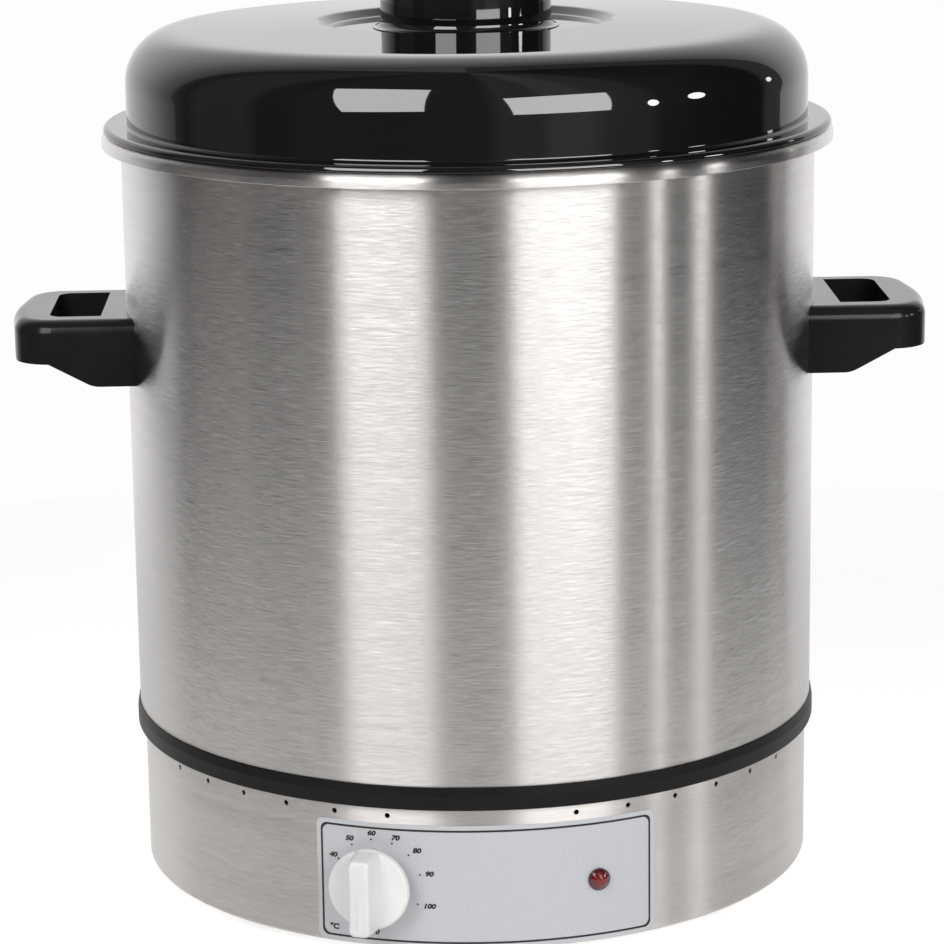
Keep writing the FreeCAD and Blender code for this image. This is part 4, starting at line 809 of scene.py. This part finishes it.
def make_knob():
    """White knob: a disc with a rounded edge and a tapered grip bar that flows into it."""
    hub, radius = 8.0, 20.2
    hub_low, disc_low, disc_top = 1.6, 8.0, 12.0
    outline = rounded([
        (0, hub_low), (hub, hub_low, 0.3), (hub, disc_low, 0.4),
        (radius, disc_low, 0.6), (radius, disc_top, 1.3), (0, disc_top),
    ])
    knob = make_object("knob_moulding", *lathe(outline, 180))
    bar = make_object("knob_bar", *bar_mesh())
    union = knob.modifiers.new("union", "BOOLEAN")
    union.operation = "UNION"
    union.object = bar
    union.solver = "EXACT"
    remesh = knob.modifiers.new("remesh", "REMESH")
    remesh.mode = "VOXEL"
    remesh.voxel_size = 0.36 * MM
    smooth = knob.modifiers.new("smooth", "SMOOTH")
    smooth.factor = 0.5
    smooth.iterations = 5
    plain = knob.data
    knob.data = evaluated_mesh(knob)
    knob.modifiers.clear()
    bpy.data.meshes.remove(plain)
    bpy.data.objects.remove(bar)
    knob.data.transform(face_frame(KNOB_AZIMUTH, KNOB_HEIGHT))
    knob.data.shade_smooth()
    dress(knob, KNOB_WHITE, "knob_assembly", "knob_white", "control_knob")


def make_index():
    """Raised index line on the knob's grip bar, a little narrower at its top."""
    half_width, inner, outer = 0.4, -0.2, -15.5
    low, top, taper = 26.3, 26.9, 0.7
    outline = rounded([(half_width, inner), (half_width, outer), (-half_width, outer),
                       (-half_width, inner)])
    count = len(outline)
    verts = [(x, y, low) for x, y in outline] + [(x * taper, y, top) for x, y in outline]
    faces = [tuple(reversed(range(count))), tuple(range(count, 2 * count))] + band(0, count, count)
    piece = make_object("knob_index", verts, faces, face_frame(KNOB_AZIMUTH, KNOB_HEIGHT))
    dress(piece, KNOB_WHITE, "knob_assembly", "knob_white")


def make_lens():
    """Red lamp lens: a plain rim, then a dome cut in flat facets."""
    sides = 16
    fine = sides * 3
    # rings of the rim as (radius, height)
    rim = [(5.5, 0.0), (5.5, 1.3), (5.2, 1.7), (4.9, 1.75)]
    verts = [(x, y, height) for radius, height in rim for x, y in circle(0, 0, radius, fine)]
    faces = [tuple(reversed(range(fine)))]
    for row in range(len(rim) - 1):
        faces += band(row * fine, (row + 1) * fine, fine)
    previous = range(len(verts) - fine, len(verts))
    # rings of the dome as (radius, height, turned by half a facet or not)
    for radius, height, turned in ((4.2, 2.7, True), (2.7, 3.7, False), (1.2, 4.15, True)):
        ring = range(len(verts), len(verts) + sides)
        for k in range(sides):
            turn = math.tau * (k + 0.5 * turned) / sides
            verts.append((radius * math.cos(turn), radius * math.sin(turn), height))
        for k in range(sides):
            here, after = ring[k], ring[(k + 1) % sides]
            if len(previous) == fine:
                a, b, c, d = (previous[(3 * k + step) % fine] for step in (1, 2, 3, 4))
                faces += [(a, b, here), (b, c, here), (c, after, here), (c, d, after)]
                continue
            low, low_after = previous[k], previous[(k + 1) % sides]
            if turned:
                faces += [(low, low_after, here), (low_after, after, here)]
            else:
                faces += [(low, after, here), (low, low_after, after)]
        previous = ring
    faces.append(tuple(previous))
    place = face_frame(LAMP_AZIMUTH, LAMP_HEIGHT)
    piece = make_object("lens_dome", verts, faces, place, sharp=8)
    dress(piece, LENS_RED, "melter", "lens_red", "lamp_lens")


# ---------------------------------------------------------------- pieces kept from the CAD


CARRIED = {
    HANDLE_BLACK: [
        "right_handle_grip", "left_handle_grip", "right_handle_gusset", "left_handle_gusset",
    ],
    HOUSING_BLACK: [
        "lamp_body", "thermal_cutout", "thermostat_body", "thermostat_seat", "cord_gland",
        "gland_cap", "gland_nut",
    ],
    PLATED_STEEL: [
        "bottom_plate", "foot_screws", "foot_nuts", "tie_stud", "tie_nut", "tie_washer",
        "shield_nut", "shield_spacer", "heat_shield", "bulb_clip", "lamp_clip",
        "thermostat_screws", "thermostat_spindle", "block_screws", "handle_screws",
        "right_handle_bracket", "left_handle_bracket", "lid_screw", "lid_washer", "element_pins",
    ],
    ALUMINIUM: ["heat_spreader"],
    ELEMENT_METAL: ["heating_element"],
    COPPER: ["sensor_bulb", "capillary_tube"],
    NYLON: ["terminal_block"],
    SILICONE: ["internal_wires"],
    RUBBER: ["feet"],
}


def finish_carried():
    """Every CAD node that stays gets its material."""
    for material, names in CARRIED.items():
        for name in names:
            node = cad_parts[name]
            node.data.materials.clear()
            node.data.materials.append(material)


# ---------------------------------------------------------------- stage


# The lamps: name, azimuth, elevation, width and height in metres, watts per square metre, roll
# in degrees, and shape.
LAMPS = [
    ("softbox_left", -30.8, 26.0, 1.0, 1.5, 13.9, 8.0, "RECTANGLE"),
    ("softbox_right", 28.3, 15.0, 1.16, 1.08, 14.3, 0.0, "RECTANGLE"),
    ("bulb_near", 59.0, 5.0, 0.14, 0.32, 29.0, 0.0, "ELLIPSE"),
    ("bulb_far", 76.4, 7.5, 0.25, 0.3, 25.0, 0.0, "ELLIPSE"),
    ("bulb_side", 114.5, 7.0, 0.12, 0.15, 12.0, 0.0, "ELLIPSE"),
]
# how far the lamps are from the point that they face, and its height on the pot's axis
LAMP_AWAY = 2000.0
LAMP_AIM = 400.0

# The table top: its radius, its colour and what shows on it besides the light that falls on it,
# in full to the camera and in part to metal and gloss.
FLOOR_RADIUS = 850.0
FLOOR_GREY = 0.74
FLOOR_GLOW = 0.64
FLOOR_GLOW_IN_METAL = 0.48

# The room in front of the object, as (azimuth, brightness) with straight changes between.
FRONT = [
    (-180, 0.32), (-122, 0.32), (-114, 0.12), (-108, 0.05), (-102, 0.11), (-80, 0.12),
    (-74, 0.05), (-64, 0.05), (-57, 0.075), (-12, 0.055), (4, 0.055), (10, 0.15), (22, 0.14),
    (27, 0.25), (38, 0.24), (46, 0.14), (60, 0.12), (66, 0.05), (90, 0.02), (113, 0.02),
    (116, 0.13), (180, 0.13),
]
FRONT_TINT = (1.0, 0.95, 0.94)
# The pale screen behind it, as (how far behind a direction leads, brightness). A direction that
# leads up or down counts as further behind, by the lean.
SCREEN = [
    (0.44, 0.22), (0.5, 0.34), (0.57, 0.46), (0.65, 0.64), (0.75, 0.84), (0.85, 0.98),
    (1.0, 1.02), (1.3, 1.02),
]
SCREEN_TINT = (0.985, 0.985, 1.0)
SCREEN_EDGE = 0.445
SCREEN_LEAN = 0.23
# A dark flat at the right, which covers the screen's edge and leaves it dimmer above.
FLAT_WIDTH = 0.215
FLAT_WIDER_ABOVE = 0.1
FLAT_SHADE = 0.3
# The screen is brightest in the middle, above the object: where to, from which cosine on, how
# much more, and how fast it falls off.
GLOW_PLACE = Vector((0.0, 0.88, 0.475))
GLOW_START = 0.891
GLOW_LEVEL = 0.95
GLOW_POWER = 3.0

# The camera: its azimuth and pitch are in degrees, and its roll in radians.
CAMERA_LENS = 130.83
CAMERA_AZIMUTH = -1.6
CAMERA_BACK = 1731.5
CAMERA_HEIGHT = 607.3
CAMERA_PITCH = 13.19
CAMERA_ROLL = -0.0137


def make_floor():
    """A round pale table top, as white as the background where nothing shades it."""
    mesh = bpy.data.meshes.new("floor")
    ring = [(x, y, 0) for x, y in circle(0, 0, FLOOR_RADIUS * MM, sides=96)]
    mesh.from_pydata(ring, [], [tuple(range(len(ring)))])
    floor = link_object("floor", mesh)
    material, tree, shader = new_material("floor_white", (FLOOR_GREY,) * 3, roughness=0.9)
    shader.inputs["Specular IOR Level"].default_value = 0.0
    path = add_node(tree, "ShaderNodeLightPath")
    glow = add_node(tree, "ShaderNodeEmission", Color=(FLOOR_GLOW, FLOOR_GLOW, FLOOR_GLOW, 1))
    # metal shows the white table too, and the shading on it stays
    shown = maths(tree, "MULTIPLY_ADD", path.outputs["Is Glossy Ray"], FLOOR_GLOW_IN_METAL,
                  path.outputs["Is Camera Ray"])
    tree.links.new(shown, glow.inputs["Strength"])
    both = add_node(tree, "ShaderNodeAddShader")
    tree.links.new(shader.outputs[0], both.inputs[0])
    tree.links.new(glow.outputs[0], both.inputs[1])
    tree.links.new(both.outputs[0], tree.nodes["Material Output"].inputs["Surface"])
    mesh.materials.append(material)


def make_lamp(name, azimuth, elevation, width, height, level, roll, shape):
    """A flat lamp that faces the lid."""
    lamp = bpy.data.lights.new(name, "AREA")
    lamp.shape = shape
    lamp.size = width
    lamp.size_y = height
    lamp.energy = level * width * height
    around = Matrix.Rotation(math.radians(azimuth), 4, "Z")
    up = Matrix.Rotation(math.radians(-elevation), 4, "X")
    away = Matrix.Translation((0, -LAMP_AWAY * MM, 0))
    # an area lamp shines along its own -Z, so it is stood upright to face along +Y
    upright = Matrix.Rotation(math.radians(90), 4, "X")
    rolled = Matrix.Rotation(math.radians(roll), 4, "Z")
    aim = Matrix.Translation((0, 0, LAMP_AIM * MM))
    link_object(name, lamp).matrix_world = aim @ around @ up @ away @ upright @ rolled


def brightness(tree, value, points):
    """The brightness along a list of (place, brightness) points."""
    low, high = points[0][0], points[-1][0]
    # the curve holds numbers up to 1, which stands for this brightness
    most = 2.0
    places = [((x - low) / (high - low), level / most) for x, level in points]
    ramp = add_node(tree, "ShaderNodeFloatCurve")
    curve = ramp.mapping.curves[0]
    curve.points[0].location = places[0]
    curve.points[1].location = places[-1]
    for point in places[1:-1]:
        curve.points.new(*point)
    for point in curve.points:
        point.handle_type = "VECTOR"
    ramp.mapping.update()
    share = maths(tree, "DIVIDE", maths(tree, "SUBTRACT", value, low), high - low)
    tree.links.new(share, ramp.inputs["Value"])
    return maths(tree, "MULTIPLY", ramp.outputs["Value"], most)


def make_world():
    """A studio: a pale screen behind and over the object, dark in front, white to the camera."""
    world = bpy.data.worlds.new("studio")
    bpy.context.scene.world = world
    world.use_nodes = True
    tree = world.node_tree
    calc = partial(maths, tree)
    place = add_node(tree, "ShaderNodeTexCoord").outputs["Generated"]
    split = add_node(tree, "ShaderNodeSeparateXYZ")
    tree.links.new(place, split.inputs["Vector"])
    right, back, height = split.outputs
    turn = calc("ARCTAN2", right, calc("MULTIPLY", back, -1.0))
    front = brightness(tree, calc("DIVIDE", turn, math.radians(1)), FRONT)
    to_right = calc("MAXIMUM", right, 0.0)
    above = calc("MAXIMUM", height, 0.0)
    behind = calc("ADD", back, calc("MULTIPLY", calc("ABSOLUTE", height), SCREEN_LEAN))
    flat_width = calc("ADD", calc("MULTIPLY", above, FLAT_WIDER_ABOVE), FLAT_WIDTH)
    covered = calc("MULTIPLY", to_right, flat_width)
    at_screen = calc("GREATER_THAN", calc("SUBTRACT", behind, covered), SCREEN_EDGE)
    shaded = calc("MULTIPLY", calc("MULTIPLY", to_right, above), FLAT_SHADE)
    screen = brightness(tree, calc("SUBTRACT", behind, shaded), SCREEN)
    room = mix(tree, at_screen, front, screen)
    aim = vector_maths(tree, "DOT_PRODUCT", place, GLOW_PLACE)
    near = calc("DIVIDE", calc("SUBTRACT", aim, GLOW_START), 1 - GLOW_START, clamp=True)
    bright = calc("ADD", room, calc("MULTIPLY", calc("POWER", near, GLOW_POWER), GLOW_LEVEL))
    to_camera = add_node(tree, "ShaderNodeLightPath").outputs["Is Camera Ray"]
    tint = mix_colours(tree, calc("MAXIMUM", to_camera, at_screen), FRONT_TINT, SCREEN_TINT)
    background = tree.nodes["Background"]
    tree.links.new(mix(tree, to_camera, bright, 1.0), background.inputs["Strength"])
    tree.links.new(tint, background.inputs["Color"])


def make_camera():
    """A long lens in front of the object, a little above the rim, looking down and rolled."""
    data = bpy.data.cameras.new("camera")
    data.sensor_width = 36.0
    data.lens = CAMERA_LENS
    data.clip_start, data.clip_end = 0.05, 200
    camera = link_object("camera", data)
    bpy.context.scene.camera = camera
    azimuth, pitch = math.radians(CAMERA_AZIMUTH), math.radians(CAMERA_PITCH)
    out = Vector((math.sin(azimuth), -math.cos(azimuth), 0))
    camera.location = (out * CAMERA_BACK + Vector((0, 0, CAMERA_HEIGHT))) * MM
    ahead = -out * math.cos(pitch) - Vector((0, 0, math.sin(pitch)))
    right = Vector((math.cos(azimuth), math.sin(azimuth), 0))
    up = right.cross(ahead)
    rolled_right = right * math.cos(CAMERA_ROLL) + up * math.sin(CAMERA_ROLL)
    rolled_up = up * math.cos(CAMERA_ROLL) - right * math.sin(CAMERA_ROLL)
    camera.rotation_mode = "QUATERNION"
    axes = Matrix((rolled_right, rolled_up, -ahead)).transposed()
    camera.rotation_quaternion = axes.to_quaternion()


bpy.context.scene.view_settings.view_transform = "Standard"
make_camera()
make_world()
for lamp_settings in LAMPS:
    make_lamp(*lamp_settings)
make_floor()
make_pot()
make_ring()
make_skirt()
make_label()
make_border()
make_scale()
make_knob()
make_index()
make_lens()
make_lid()
make_lid_knob()
finish_carried()
